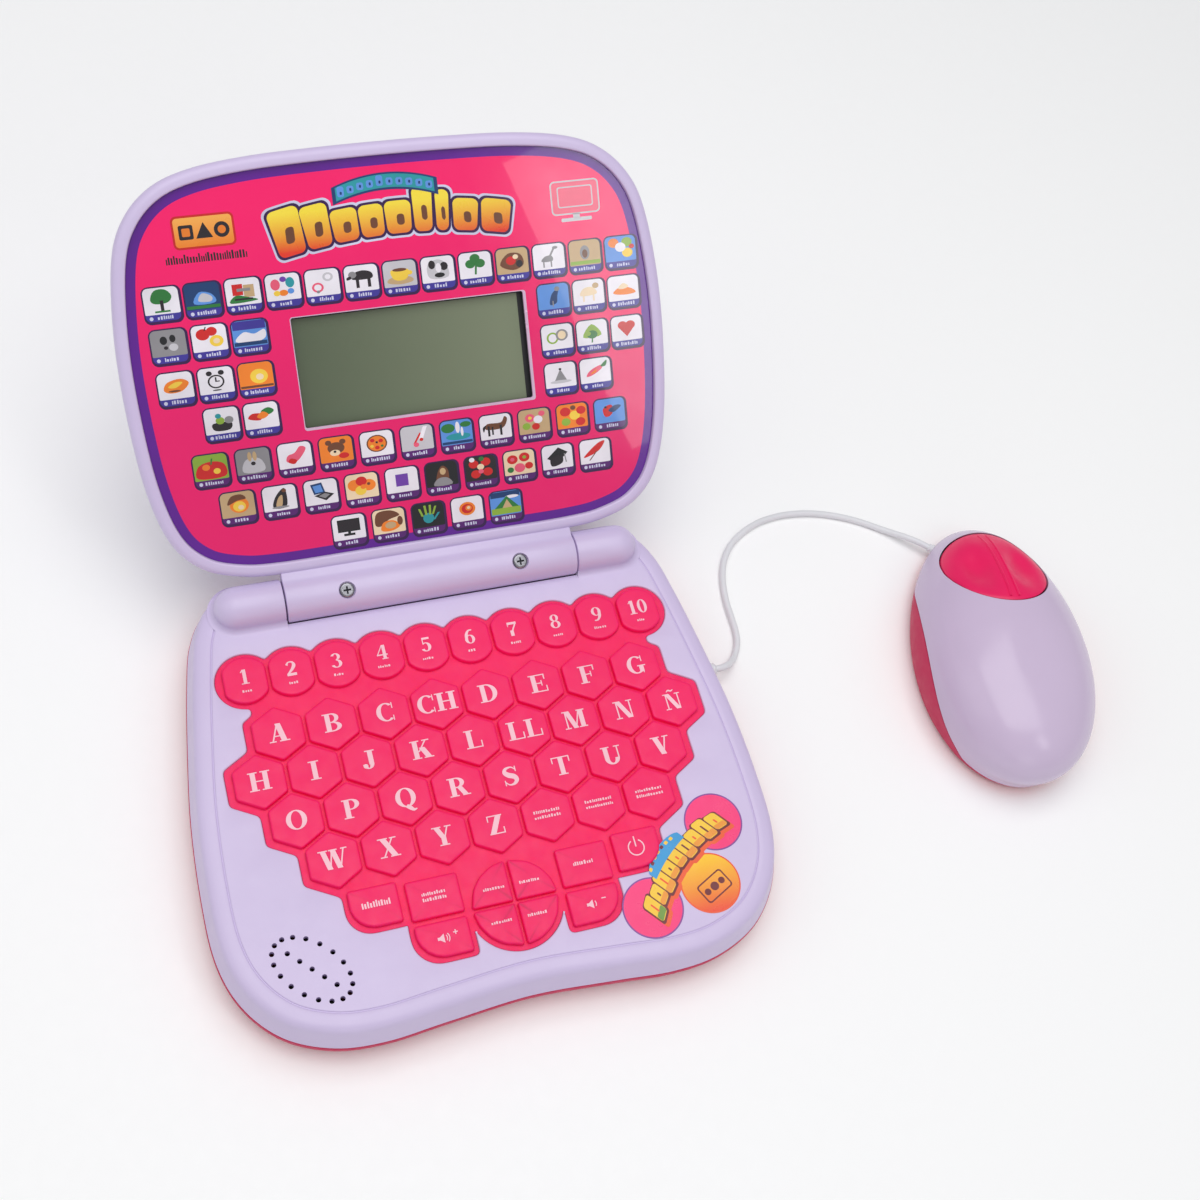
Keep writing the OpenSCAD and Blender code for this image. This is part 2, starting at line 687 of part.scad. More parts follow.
module screen_panel() {
    color([0.95, 0.15, 0.45]) in_lid() difference() {
        slab(inset(LID_LINE, rim_w + 0.15), panel_top_z - panel_t, panel_top_z);
        translate([lcd_x - window_w / 2, lcd_y - window_h / 2, panel_top_z - 2]) cube([window_w, window_h, 5]);
    }
}

module lcd_module() {
    color([0.5, 0.55, 0.48]) in_lid() {
        centred_box([window_w + 6, window_h + 6, 1.8], [lcd_x, lcd_y], plate_z - 1.8);
        centred_box([window_w + 4, window_h + 3, 1], [lcd_x, lcd_y], plate_z - 2.8);
    }
}

module lid_board() {
    color(BOARD_GREEN) in_lid() {
        centred_box([window_w + 2, window_h, 1.2], [lcd_x, lcd_y], plate_z - 4);
        centred_box([12, 12, 0.9], [lcd_x - 20, lcd_y], plate_z - 4.9);
    }
}

// Cross-head screws on the barrel's face
module hinge_screws() {
    color(STEEL) in_lid() for (side = [-1, 1])
        translate([side * hinge_screw_x, 0, 0]) rotate([hinge_screw_angle - 90, 0, 0]) {
            translate([0, 0, 0.5]) cylinder(r = screw_r, h = barrel_r - 2.1);
            difference() {
                translate([0, 0, barrel_r - 1.6]) cylinder(r = head_r, h = 1.5);
                for (turn = [0, 90]) rotate([0, 0, turn])
                    translate([-1.5, -0.3, barrel_r - 0.9]) cube([3, 0.6, 1]);
            }
        }
}

// ---- Mouse, in its own frame: Y towards its nose ----

module in_mouse() {
    translate([MOUSE_PLACE[0], MOUSE_PLACE[1], 0]) rotate([0, 0, -mouse_yaw]) children();
}

// One level line of the mouse's body; share runs from 0 at its widest to 1 at its top
function mouse_line(share, scale, shrink) =
    [for (a = [0:9:351])
        let (rx = (mouse_w / 2 * scale) - shrink, ry = (mouse_l / 2 * scale) - shrink)
        [rx * cos(a) * (1 - 0.07 * sin(a)), ry * sin(a) - mouse_lean * share]];

function dome_scale(share) = pow(1 - pow(share, 2.2), 1 / 2.4);

// The mouse's body, or the space inside its walls where shrink is more than 0
module mouse_body(shrink) {
    low = shrink > 1 ? shrink : 0;
    rise = mouse_h - shrink - mouse_wide_z;
    shares = [0, 0.18, 0.34, 0.5, 0.64, 0.76, 0.86, 0.94, 0.985];
    loft(concat(
        [[mouse_line(0, 0.9, shrink), low], [mouse_line(0, 0.965, shrink), 2 + shrink * 0.8]],
        [for (s = shares) [mouse_line(s, dome_scale(s), shrink), mouse_wide_z + rise * s]]
    ));
}

// Everything below the seam between the mouse's shells, which arches up along each side
module below_mouse_seam(gap) {
    arch_r = 60;
    translate([-50, -80, -10]) cube([100, 160, 15 - gap]);
    translate([-50, -6, 17 - arch_r]) rotate([0, 90, 0]) cylinder(r = arch_r - gap, h = 100, $fn = 96);
}

module button_outline(grow) {
    translate([button_x, button_y])
        polygon([for (a = [0:12:348]) [(button_rx + grow) * cos(a), (button_ry + grow) * sin(a)]]);
}

module in_mouse_grommet() {
    translate(MOUSE_GROMMET) rotate([0, 90, mouse_grommet_turn]) children();
}

module mouse_top_shell() {
    floor_top = mouse_wall + 0.3;
    color(LAVENDER) in_mouse() difference() {
        union() {
            difference() {
                mouse_body(0);
                mouse_body(mouse_wall);
                below_mouse_seam(0);
                translate([0, 0, 8]) linear_extrude(40) button_outline(0);
            }
            intersection() {
                mouse_body(mouse_wall - 0.6);
                for (p = MOUSE_POSTS) translate([p[0], p[1], floor_top]) cylinder(r = mouse_post_r, h = mouse_h);
            }
        }
        for (p = MOUSE_POSTS) translate([p[0], p[1], 0]) cylinder(r = screw_r + screw_clear, h = 10);
        in_mouse_grommet() translate([0, 0, -8]) cylinder(r = mouse_grommet_r, h = 16);
    }
}

module mouse_bottom_shell() {
    color(PINK) in_mouse() {
        difference() {
            intersection() {
                mouse_body(0.3);
                below_mouse_seam(0.1);
            }
            mouse_body(mouse_wall + 0.3);
            for (p = MOUSE_POSTS) translate([p[0], p[1], -1]) {
                cylinder(r = screw_r + 0.2, h = 6);
                cylinder(r = head_r + 0.3, h = mouse_head_z + 1);
            }
            in_mouse_grommet() translate([0, 0, -8]) cylinder(r = mouse_grommet_r, h = 16);
        }
    }
}

module mouse_board() {
    color(BOARD_GREEN) in_mouse() {
        difference() {
            centred_box([34, 46, mouse_board_t], [0, 4], mouse_board_z);
            translate([MOUSE_POSTS[1][0], MOUSE_POSTS[1][1], 0]) cylinder(r = mouse_post_r + 0.3, h = mouse_h);
        }
        for (x = [-10, 10]) centred_box([6, 6, 3.6], [x, 22], mouse_board_z + mouse_board_t);
    }
}

module mouse_screws() {
    color(STEEL) in_mouse() for (p = MOUSE_POSTS) translate([p[0], p[1], 0]) {
        translate([0, 0, 0.2]) cylinder(r = head_r, h = mouse_head_z - 0.2);
        translate([0, 0, mouse_head_z]) cylinder(r = screw_r, h = 8);
    }
}

module mouse_grommet() {
    color(WHITE) in_mouse() in_mouse_grommet() {
        translate([0, 0, -3]) cylinder(r = mouse_grommet_r, h = 6);
        translate([0, 0, 3]) cylinder(r1 = mouse_grommet_r, r2 = 1.6, h = 4);
    }
}

// The two-way rocker on the mouse's nose, a finger dimple each side of its middle ridge
module mouse_button() {
    color(PINK) in_mouse() {
        difference() {
            intersection() {
                mouse_body(0.2);
                translate([0, 0, 8]) linear_extrude(40) button_outline(-button_gap);
            }
            mouse_body(mouse_wall + 0.4);
        }
        translate([button_x, button_y - 10, rocker_z]) rotate([-90, 0, 0]) cylinder(r = rocker_r, h = 20);
        translate([button_x - 0.8, button_y - 9, rocker_z]) cube([1.6, 18, 6]);
    }
}

// ---- Keys ----

module letter_key(row, i) {
    place = letter_place(row, i);
    color(PINK) cap(moved(hex_line(0), place), place);
}

module number_keys() {
    color(PINK) for (i = [0:9]) cap(moved(number_line(0), number_place(i)), number_place(i));
}

module menu_keys() {
    color(PINK) {
        for (i = [4:6]) cap(moved(hex_line(0), letter_place(3, i)), letter_place(3, i));
        for (side = [-1, 1])
            cap(menu_tab_line(side, 0), [side * (MENU_TAB[0][0] + MENU_TAB[1][0]) / 2, -40.2]);
        cap(outer_tab_line(-1, 0), [-(OUTER_TAB[0][0] + OUTER_TAB[1][0]) / 2, -39]);
        for (q = [0:3]) translate([0, dial_y, 0]) rotate([0, 0, 90 * q]) cap(dial_quarter_line(0), [6, 6]);
    }
}

module key_power() {
    color(PINK) cap(outer_tab_line(1, 0), [(OUTER_TAB[0][0] + OUTER_TAB[1][0]) / 2, -39]);
}

module volume_key(side) {
    color(PINK) cap(volume_tab_line(side, 0), [side * (VOLUME_TAB[0][0] + VOLUME_TAB[1][0]) / 2, -54.2]);
}

base_top_shell();
base_bottom_shell();
battery_door();
battery_cells();
battery_contacts();
main_board();
key_mat();
speaker();
rubber_feet();
case_screws();
cord_grommet();
mouse_cord();
hinge_pins();
badge_sticker();
mouse_top_shell();
mouse_bottom_shell();
mouse_board();
mouse_screws();
mouse_grommet();
mouse_button();
lid_front_shell();
lid_back_shell();
screen_panel();
lcd_module();
lid_board();
hinge_screws();
number_keys();
menu_keys();
key_power();
volume_key(-1);  // key_volume_up
volume_key(1);  // key_volume_down
for (row = [0:3], i = [0:len(LETTER_ROWS[row]) - 1])
    letter_key(row, i);
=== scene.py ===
"""A toy laptop with a corded mouse: the looks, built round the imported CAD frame.

Shapes are worked out in millimetres and made in metres. Z is up, +Y is the hinge side.
"""

import math
import random

import bmesh
import bpy
import numpy as np
from mathutils import Matrix, Vector
from mathutils.geometry import delaunay_2d_cdt


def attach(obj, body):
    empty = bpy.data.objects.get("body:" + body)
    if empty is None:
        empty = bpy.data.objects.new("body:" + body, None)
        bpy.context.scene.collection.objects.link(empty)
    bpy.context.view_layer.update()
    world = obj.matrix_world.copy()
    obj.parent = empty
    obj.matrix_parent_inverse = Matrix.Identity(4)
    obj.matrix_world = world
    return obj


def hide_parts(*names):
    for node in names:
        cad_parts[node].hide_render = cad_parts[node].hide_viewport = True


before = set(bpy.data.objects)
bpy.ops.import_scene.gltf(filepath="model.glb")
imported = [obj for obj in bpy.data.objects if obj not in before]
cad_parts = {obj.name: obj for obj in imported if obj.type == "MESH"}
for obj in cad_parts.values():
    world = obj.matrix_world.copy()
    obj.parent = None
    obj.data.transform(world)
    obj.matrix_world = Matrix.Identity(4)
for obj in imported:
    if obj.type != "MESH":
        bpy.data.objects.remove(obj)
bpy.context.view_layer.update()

MM = 0.001

# ---- Sizes shared with the CAD, in millimetres ----

CASE_HALF_W = 97
DECK_Z = 24
CEILING_Z = 21.4
FLOOR_Z = 1.5
KEY_PITCH = 18
KEY_FLAT = 8.45
ROW_PITCH = KEY_PITCH * math.sqrt(3) / 2
FIRST_ROW_Y = 25.8
KEY_TOP_Z = 25.4
KEY_BOTTOM_Z = 19.4
WEB_Z = 23.4
OPENING_MARGIN = 2
ROW_LENGTHS = (8, 9, 8, 7)
LETTER_ROWS = ("a b c ch d e f g", "h i j k l ll m n n_tilde", "o p q r s t u v", "w x y z")
NUMBER_PITCH = 15.6
NUMBER_R = 8.6
NUMBER_HALF_W = 7.3
NUMBER_Y = 47
DIAL_R = 14.4
DIAL_Y = -47.6
MENU_TAB = ((16.6, -46.8), (34, -33.6))
OUTER_TAB = ((36.4, -45.6), (52.4, -32.4))
VOLUME_TAB = ((16.6, -60), (34, -48.4))
HINGE_Y, HINGE_Z = 73.2, 26.5
BARREL_R = 7.8
BARREL_HALF = 52
BARREL_CLEAR = 0.5
KNUCKLE_R = 7.5
KNUCKLE_END = 72.5
KNUCKLE_BALL_X = KNUCKLE_END - KNUCKLE_R + 3.6
LID_HALF_W = 93.5
LID_TILT = 42
RIM_Z = 2
LID_SEAM_Z = -3
PANEL_Z = 0.2
PANEL_T = 0.8
LID_BACK_Z = -9
RIM_W = 4.2
LCD_AT = (3.5, 76.7)
WINDOW = (80, 37)
MOUSE_AT = (208.5, 10)
MOUSE_YAW = 10
MOUSE_L, MOUSE_W, MOUSE_H = 108, 66, 36
MOUSE_WIDE_Z = 8
MOUSE_LEAN = 12
BUTTON_AT = (-0.5, 28.5)
BUTTON_R = (20, 19)
CORD_R = 1.25

# The right half of the case's and the lid's outline: a share of the half width, and the distance along Y
CASE_HALF_LINE = (
    (0, -76), (0.29, -77.8), (0.5, -79.3), (0.67, -77.5), (0.825, -70.5), (0.935, -58), (0.99, -42),
    (1, -20), (0.988, 6), (0.955, 32), (0.92, 54), (0.885, 69), (0.815, 80), (0.68, 84), (0.35, 84), (0, 84),
)
LID_HALF_LINE = (
    (0, 9.3), (0.27, 9.3), (0.55, 9.4), (0.7, 10.9), (0.83, 15.6), (0.925, 26), (0.979, 45), (1, 72),
    (0.995, 97), (0.96, 120), (0.898, 132.5), (0.797, 141), (0.663, 145.5), (0.47, 147.8), (0.235, 148.6),
    (0, 148.8),
)

# The cord's way from the case's strain relief to the mouse's
CORD_ROUTE = (
    (97.5, 25.5, 8), (100, 25.5, 8), (103, 26.6, 6.8), (105.6, 28.6, 4.2), (108.6, 31.6, 1.8),
    (111.4, 36.2, 1.3), (112.6, 41.5, 1.3), (112.8, 47.5, 1.3), (112.9, 53.5, 1.3), (113.6, 59.5, 1.3),
    (115, 65.5, 1.3), (117.4, 71.2, 1.3), (121, 76.3, 1.3), (125.6, 80.4, 1.3), (131, 83.4, 1.3),
    (136.8, 85.6, 1.3), (142.8, 86.7, 1.3), (149, 87, 1.3), (155.2, 86.5, 1.3), (161.4, 85.3, 1.3),
    (167.6, 83.4, 1.3), (173.6, 80.9, 1.3), (179.4, 77.8, 1.3), (184.6, 74.3, 1.5), (189.2, 70.6, 2.6),
    (193.2, 67.0, 4.1), (196.8, 63.8, 4.9), (200.5, 60.47, 5),
)


# ---- Camera ----

CAMERA_AT = (-0.0984, -0.1805, 0.5271)
CAMERA_ANGLES = (33.7, 60.76, 20.2)
CAMERA_LENS, CAMERA_SENSOR = 48, 36


def make_camera():
    azimuth, elevation, roll = (math.radians(a) for a in CAMERA_ANGLES)
    look = Vector((math.sin(azimuth) * math.cos(elevation), math.cos(azimuth) * math.cos(elevation),
                   -math.sin(elevation)))
    level = Vector((math.cos(azimuth), -math.sin(azimuth), 0))
    right = level * math.cos(roll) + level.cross(look) * math.sin(roll)
    up = right.cross(look)
    data = bpy.data.cameras.new("camera")
    data.sensor_width, data.lens = CAMERA_SENSOR, CAMERA_LENS
    data.clip_start, data.clip_end = 0.01, 20
    camera = bpy.data.objects.new("camera", data)
    camera.matrix_world = Matrix((
        *((r, u, -k, at) for r, u, k, at in zip(right, up, look, CAMERA_AT)), (0, 0, 0, 1),
    ))
    bpy.context.scene.collection.objects.link(camera)
    bpy.context.scene.camera = camera


make_camera()

# ---- Materials ----


def srgb(r, g, b):
    """A colour given as 0 to 255, made linear."""
    return tuple((c / 255 / 12.92) if c < 11 else ((c / 255 + 0.055) / 1.055) ** 2.4 for c in (r, g, b)) + (1,)


class Nodes:
    """A short way to build a material's node tree."""

    def __init__(self, name):
        self.material = bpy.data.materials.new(name)
        self.material.use_nodes = True
        self.tree = self.material.node_tree
        self.shader = next(n for n in self.tree.nodes if n.type == "BSDF_PRINCIPLED")
        self.at = self.add("ShaderNodeTexCoord").outputs["Object"]

    def add(self, kind, **values):
        node = self.tree.nodes.new(kind)
        for key, value in values.items():
            setattr(node, key, value)
        return node

    def link(self, a, b):
        self.tree.links.new(a, b)

    def noise(self, scale, detail=3, roughness=0.5, at=None):
        node = self.add("ShaderNodeTexNoise")
        node.inputs["Scale"].default_value = scale
        node.inputs["Detail"].default_value = detail
        node.inputs["Roughness"].default_value = roughness
        self.link(at or self.at, node.inputs["Vector"])
        return node.outputs["Fac"]

    def scaled(self, factor, low, high, start=0.3, end=0.7):
        node = self.add("ShaderNodeMapRange")
        self.link(factor, node.inputs["Value"])
        for key, value in zip(("From Min", "From Max", "To Min", "To Max"), (start, end, low, high)):
            node.inputs[key].default_value = value
        return node.outputs["Result"]

    def ramp(self, factor, stops):
        node = self.add("ShaderNodeValToRGB")
        ramp = node.color_ramp
        while len(ramp.elements) < len(stops):
            ramp.elements.new(0.5)
        for element, (place, colour) in zip(ramp.elements, stops):
            element.position, element.color = place, colour
        self.link(factor, node.inputs["Fac"])
        return node.outputs["Color"]

    def drift(self, axis, low, high, start, end, cloud, share):
        """A value that runs along one axis from low to high, with some of a cloud added."""
        split = self.add("ShaderNodeSeparateXYZ")
        self.link(self.at, split.inputs["Vector"])
        total = self.add("ShaderNodeMath", operation="MULTIPLY_ADD")
        self.link(cloud, total.inputs[0])
        total.inputs[1].default_value = share
        self.link(self.scaled(split.outputs[axis], low, high, start, end), total.inputs[2])
        return total.outputs[0]

    def bump(self, height, strength, distance):
        node = self.add("ShaderNodeBump")
        node.inputs["Strength"].default_value = strength
        node.inputs["Distance"].default_value = distance
        self.link(height, node.inputs["Height"])
        self.link(node.outputs["Normal"], self.shader.inputs["Normal"])


def shade(colour, factor):
    return tuple(min(1, c * factor) for c in colour[:3]) + (1,)


def plastic(name, colour, roughness=0.35, vary=0.04, grain=2600, bump=0.05, scuffs=0.0, **sockets):
    """Moulded plastic, rubber or print: cloudy colour, uneven gloss, fine grain and a few scuffs."""
    n = Nodes(name)
    cloud = n.noise(28, 4, 0.6)
    n.link(n.ramp(cloud, ((0.3, shade(colour, 1 - vary)), (0.7, shade(colour, 1 + vary)))),
           n.shader.inputs["Base Color"])
    gloss = n.scaled(n.noise(190, 5, 0.65), roughness * 0.82, roughness * 1.18)
    if scuffs:
        stretched = n.add("ShaderNodeMapping")
        stretched.inputs["Scale"].default_value = (1, 6, 2)
        stretched.inputs["Rotation"].default_value = (0.3, 0.2, 0.7)
        n.link(n.at, stretched.inputs["Vector"])
        marks = n.scaled(n.noise(260, 2, 0.5, stretched.outputs["Vector"]), 0, scuffs, 0.66, 0.74)
        total = n.add("ShaderNodeMath", operation="ADD")
        n.link(gloss, total.inputs[0])
        n.link(marks, total.inputs[1])
        gloss = total.outputs[0]
    n.link(gloss, n.shader.inputs["Roughness"])
    n.bump(n.noise(grain, 2, 0.5), bump, 0.0002)
    for key, value in sockets.items():
        n.shader.inputs[key.replace("_", " ")].default_value = value
    return n.material


def gradient(name, low, high, axis, start, end, roughness=0.3, **sockets):
    """A print whose colour runs from low to high along one axis of the row frame, in metres."""
    n = Nodes(name)
    along = n.drift(axis, 0, 1, start, end, n.noise(900, 3), 0.06)
    n.link(n.ramp(along, ((0.05, low), (0.98, high))), n.shader.inputs["Base Color"])
    n.link(n.scaled(n.noise(150, 4), roughness * 0.8, roughness * 1.2), n.shader.inputs["Roughness"])
    n.bump(n.noise(1500, 2), 0.03, 0.0001)
    for key, value in sockets.items():
        n.shader.inputs[key.replace("_", " ")].default_value = value
    return n.material


LAVENDER_RGB = srgb(210, 195, 229)
PINK_RGB = srgb(255, 2, 100)
LAVENDER = plastic("lavender plastic", LAVENDER_RGB, 0.36, 0.015, scuffs=0.08)
MOUSE_LAVENDER = plastic("polished lavender plastic", srgb(208, 189, 217), 0.22, 0.015, bump=0.006)
PINK_SHELL = plastic("pink plastic", srgb(200, 0, 78), 0.5, 0.04, scuffs=0.08)
SOFT = {"Subsurface_Weight": 0.3, "Subsurface_Radius": (0.005, 0.0012, 0.0018), "Subsurface_Scale": 0.5}
KEY_RUBBER = plastic("key rubber", PINK_RGB, 0.5, 0.03, grain=3400, bump=0.08, **SOFT)
WEB_RUBBER = plastic("web rubber", srgb(255, 2, 98), 0.52, 0.04, grain=3400, bump=0.1, **SOFT)
LEGEND = plastic("key legend print", srgb(252, 196, 208), 0.42, 0.06, grain=4000, bump=0.05)
MOUSE_PINK = plastic("mouse button plastic", srgb(240, 2, 94), 0.42, 0.05, grain=1500, bump=0.1)
STEEL = plastic("zinc plated steel", srgb(150, 150, 156), 0.34, 0.15, grain=900, bump=0.25, Metallic=1.0)
# darker steel for the screws' cross recess: painted shade in the hollow
PAINTED_SHADE_STEEL = plastic("steel with painted recess shade", srgb(60, 60, 66), 0.5, 0.2, grain=900, bump=0.25, Metallic=0.8)
CORD_SHEATH = plastic("cord sheath", srgb(226, 226, 230), 0.4, 0.04, grain=1800, bump=0.1)
BLACK_PLASTIC = plastic("black plastic", srgb(24, 24, 28), 0.55, 0.2)
FOOT_RUBBER = plastic("foot rubber", srgb(38, 38, 42), 0.8, 0.2, grain=1500, bump=0.4)
BOARD = plastic("circuit board", srgb(24, 92, 46), 0.45, 0.2, grain=700, bump=0.4)
CELL_WRAP = plastic("cell wrap", srgb(40, 44, 60), 0.35, 0.3, Metallic=0.4)

# ---- Meshes ----


def smooth_line(points, steps, closed=False):
    """A Catmull-Rom line through the points, as an array."""
    p = [np.array(q, float) for q in points]
    n = len(p)
    out = []
    for i in range(n if closed else n - 1):
        if closed:
            a, b, c, d = (p[(i + k) % n] for k in (-1, 0, 1, 2))
        else:
            b, c = p[i], p[i + 1]
            a = p[i - 1] if i else 2 * b - c
            d = p[i + 2] if i + 2 < n else 2 * c - b
        for k in range(steps):
            t = k / steps
            out.append(0.5 * (2 * b + (c - a) * t + (2 * a - 5 * b + 4 * c - d) * t * t
                              + (3 * b - a - 3 * c + d) * t ** 3))
    if not closed:
        out.append(p[-1])
    return np.array(out)


def whole_outline(half, half_w, steps):
    """The closed anticlockwise outline made of a right half and its mirror image."""
    right = [(x * half_w, y) for x, y in half]
    left = [(-x, y) for x, y in right[-2:0:-1]]
    return smooth_line(right + left, steps, closed=True)


def inset(line, d):
    """A closed anticlockwise line moved inwards by d millimetres."""
    along = np.roll(line, -1, 0) - np.roll(line, 1, 0)
    along /= np.linalg.norm(along, axis=1)[:, None]
    return line + d * np.stack((-along[:, 1], along[:, 0]), 1)


def even(line, step):
    """A closed line with its points set evenly, about step apart."""
    closed = np.vstack((line, line[:1]))
    length = np.concatenate(((0,), np.cumsum(np.linalg.norm(np.diff(closed, axis=0), axis=1))))
    at = np.linspace(0, length[-1], max(8, int(length[-1] / step)), endpoint=False)
    return np.stack([np.interp(at, length, closed[:, k]) for k in range(closed.shape[1])], 1)


def relax(line, times):
    """A closed line with its corners eased."""
    for _ in range(times):
        line = (np.roll(line, 1, 0) + 2 * line + np.roll(line, -1, 0)) / 4
    return line


def circle(cx, cy, rx, ry=None, n=48, start=0.0):
    a = np.arange(n) * 2 * math.pi / n + math.radians(start)
    return np.stack((cx + rx * np.cos(a), cy + (ry or rx) * np.sin(a)), 1)


def arc(cx, cy, rx, ry, a0, a1, n=16):
    a = np.radians(np.linspace(a0, a1, n))
    return np.stack((cx + rx * np.cos(a), cy + ry * np.sin(a)), 1)


def rounded(corners, r, n=6):
    """An anticlockwise polygon with rounded corners; r is one radius or one for each corner."""
    c = np.array(corners, float)
    radii = r if hasattr(r, "__len__") else [r] * len(c)
    out = []
    for i in range(len(c)):
        u, w = c[i - 1] - c[i], c[(i + 1) % len(c)] - c[i]
        u, w = u / np.linalg.norm(u), w / np.linalg.norm(w)
        half = math.acos(float(np.clip(u @ w, -1, 1))) / 2
        middle = c[i] + (u + w) / np.linalg.norm(u + w) * radii[i] / math.sin(half)
        a, b = c[i] + u * radii[i] / math.tan(half) - middle, c[i] + w * radii[i] / math.tan(half) - middle
        for k in range(n + 1):
            v = a * (1 - k / n) + b * k / n
            out.append(middle + radii[i] * v / np.linalg.norm(v))
    return np.array(out)


def box_line(cx, cy, w, h, r=0.0, n=6):
    corners = ((cx - w / 2, cy - h / 2), (cx + w / 2, cy - h / 2), (cx + w / 2, cy + h / 2),
        (cx - w / 2, cy + h / 2))
    return rounded(corners, r, n) if r else np.array(corners)


def inside(points, line):
    """Which of the points lie inside a closed line."""
    x, y = points[:, 0], points[:, 1]
    hit = np.zeros(len(points), bool)
    for (x1, y1), (x2, y2) in zip(line, np.roll(line, -1, 0)):
        if y1 != y2:
            hit ^= ((y1 > y) != (y2 > y)) & (x < (x2 - x1) * (y - y1) / (y2 - y1) + x1)
    return hit


def triangles(loops, keep, extra=None):
    """Triangles over closed lines whose middles pass keep(points). Returns points and triangles."""
    points, edges = [], []
    for line in loops:
        start, n = len(points), len(line)
        points += [(float(x), float(y)) for x, y in line]
        edges += [(start + i, start + (i + 1) % n) for i in range(n)]
    if extra is not None:
        points += [(float(x), float(y)) for x, y in extra]
    out = delaunay_2d_cdt([Vector(p) for p in points], edges, [], 0, 1e-5)
    xy = np.array([(v.x, v.y) for v in out[0]])
    tris = np.array([f for f in out[2] if len(f) == 3])
    middles = xy[tris].mean(1)
    a, b, c = xy[tris[:, 0]], xy[tris[:, 1]], xy[tris[:, 2]]
    area = np.abs((b[:, 0] - a[:, 0]) * (c[:, 1] - a[:, 1]) - (c[:, 0] - a[:, 0]) * (b[:, 1] - a[:, 1]))
    return xy, tris[keep(middles) & (area > 1e-9)]


def union(loops):
    """Triangles of the union of closed lines, and its outlines."""
    def keep(p):
        hit = np.zeros(len(p), bool)
        for line in loops:
            hit |= inside(p, line)
        return hit
    xy, tris = triangles(loops, keep)
    seen = {}
    for t in tris:
        t = list(t)
        a, b, c = xy[t]
        if (b[0] - a[0]) * (c[1] - a[1]) - (c[0] - a[0]) * (b[1] - a[1]) < 0:
            t.reverse()
        for i in range(3):
            seen[(t[i], t[(i + 1) % 3])] = True
    after = {}
    for a, b in seen:
        if (b, a) not in seen:
            after.setdefault(a, []).append(b)
    outlines = []
    while after:
        first = next(iter(after))
        line, here = [], first
        while here in after:
            line.append(here)
            following = after[here].pop()
            if not after[here]:
                del after[here]
            here = following
        outlines.append(xy[line])
    return xy, tris, outlines


class Shape:
    """Gathers surfaces in millimetres and makes one mesh object of them."""

    def __init__(self):
        self.points, self.faces, self.slots = [], [], []

    def add(self, points, faces, slot=0):
        start = len(self.points)
        self.points += [tuple(map(float, p)) for p in points]
        self.faces += [tuple(start + int(i) for i in f) for f in faces]
        self.slots += [slot] * len(faces)
        return self

    def strip(self, rings, slot=0, closed=True):
        """Joins rings of equal length, one after another."""
        n = len(rings[0])
        points = np.concatenate(rings)
        last = n if closed else n - 1
        faces = [(r * n + i, r * n + (i + 1) % n, (r + 1) * n + (i + 1) % n, (r + 1) * n + i)
                 for r in range(len(rings) - 1) for i in range(last)]
        return self.add(points, faces, slot)

    def fan(self, ring, middle=None, slot=0):
        """Closes a ring with triangles from its middle."""
        middle = np.mean(ring, 0) if middle is None else middle
        n = len(ring)
        return self.add(list(ring) + [middle], [(n, i, (i + 1) % n) for i in range(n)], slot)

    def fill(self, outer, holes, z, slot=0, extra=None):
        """A level surface inside the outer line and outside the holes. z is a height or a function of x and y."""
        def keep(p):
            hit = inside(p, outer)
            for hole in holes:
                hit &= ~inside(p, hole)
            return hit
        xy, tris = triangles([outer, *holes], keep, extra)
        height = z(xy[:, 0], xy[:, 1]) if callable(z) else np.full(len(xy), z)
        return self.add(np.column_stack((xy, height)), tris, slot)

    def solid(self, loops, low, high, slot=0):
        """A flat plate over the union of closed lines, between two heights; each may be a function of x and y."""
        xy, tris, outlines = union(loops)
        at = [(lambda x, y, h=h: h(x, y)) if callable(h) else (lambda x, y,
            h=h: np.full(len(x), h)) for h in (low, high)]
        for level in at:
            self.add(np.column_stack((xy, level(xy[:, 0], xy[:, 1]))), tris, slot)
        for line in outlines:
            self.strip([np.column_stack((line, level(line[:, 0], line[:, 1]))) for level in at], slot)
        return self

    def sweep(self, line, profile, slot=0):
        """Rings of a closed line, each moved inwards and up by the profile's (inset, z) pairs."""
        return self.strip([np.column_stack((inset(line, d), np.full(len(line), z))) for d, z in profile], slot)

    def make(self, name, materials, body, replaced=(), slot=None, place=None, sharp=35, weld=2e-6):
        """The mesh object, riding on a CAD body. place is a matrix in metres."""
        mesh = bpy.data.meshes.new(name)
        mesh.from_pydata([tuple(c * MM for c in p) for p in self.points], [], self.faces)
        for m in materials:
            mesh.materials.append(m)
        mesh.polygons.foreach_set("material_index", self.slots)
        bm = bmesh.new()
        bm.from_mesh(mesh)
        bmesh.ops.remove_doubles(bm, verts=bm.verts, dist=weld)
        bmesh.ops.dissolve_degenerate(bm, edges=bm.edges, dist=weld / 2)
        bmesh.ops.recalc_face_normals(bm, faces=bm.faces)
        bm.to_mesh(mesh)
        bm.free()
        if place is not None:
            mesh.transform(place)
        mesh.shade_smooth()
        mesh.set_sharp_from_angle(angle=math.radians(sharp))
        obj = bpy.data.objects.new(name, mesh)
        bpy.context.scene.collection.objects.link(obj)
        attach(obj, body)
        if replaced:
            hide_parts(*replaced)
        return obj


def ring(line, z):
    return np.column_stack((line, np.full(len(line), z)))


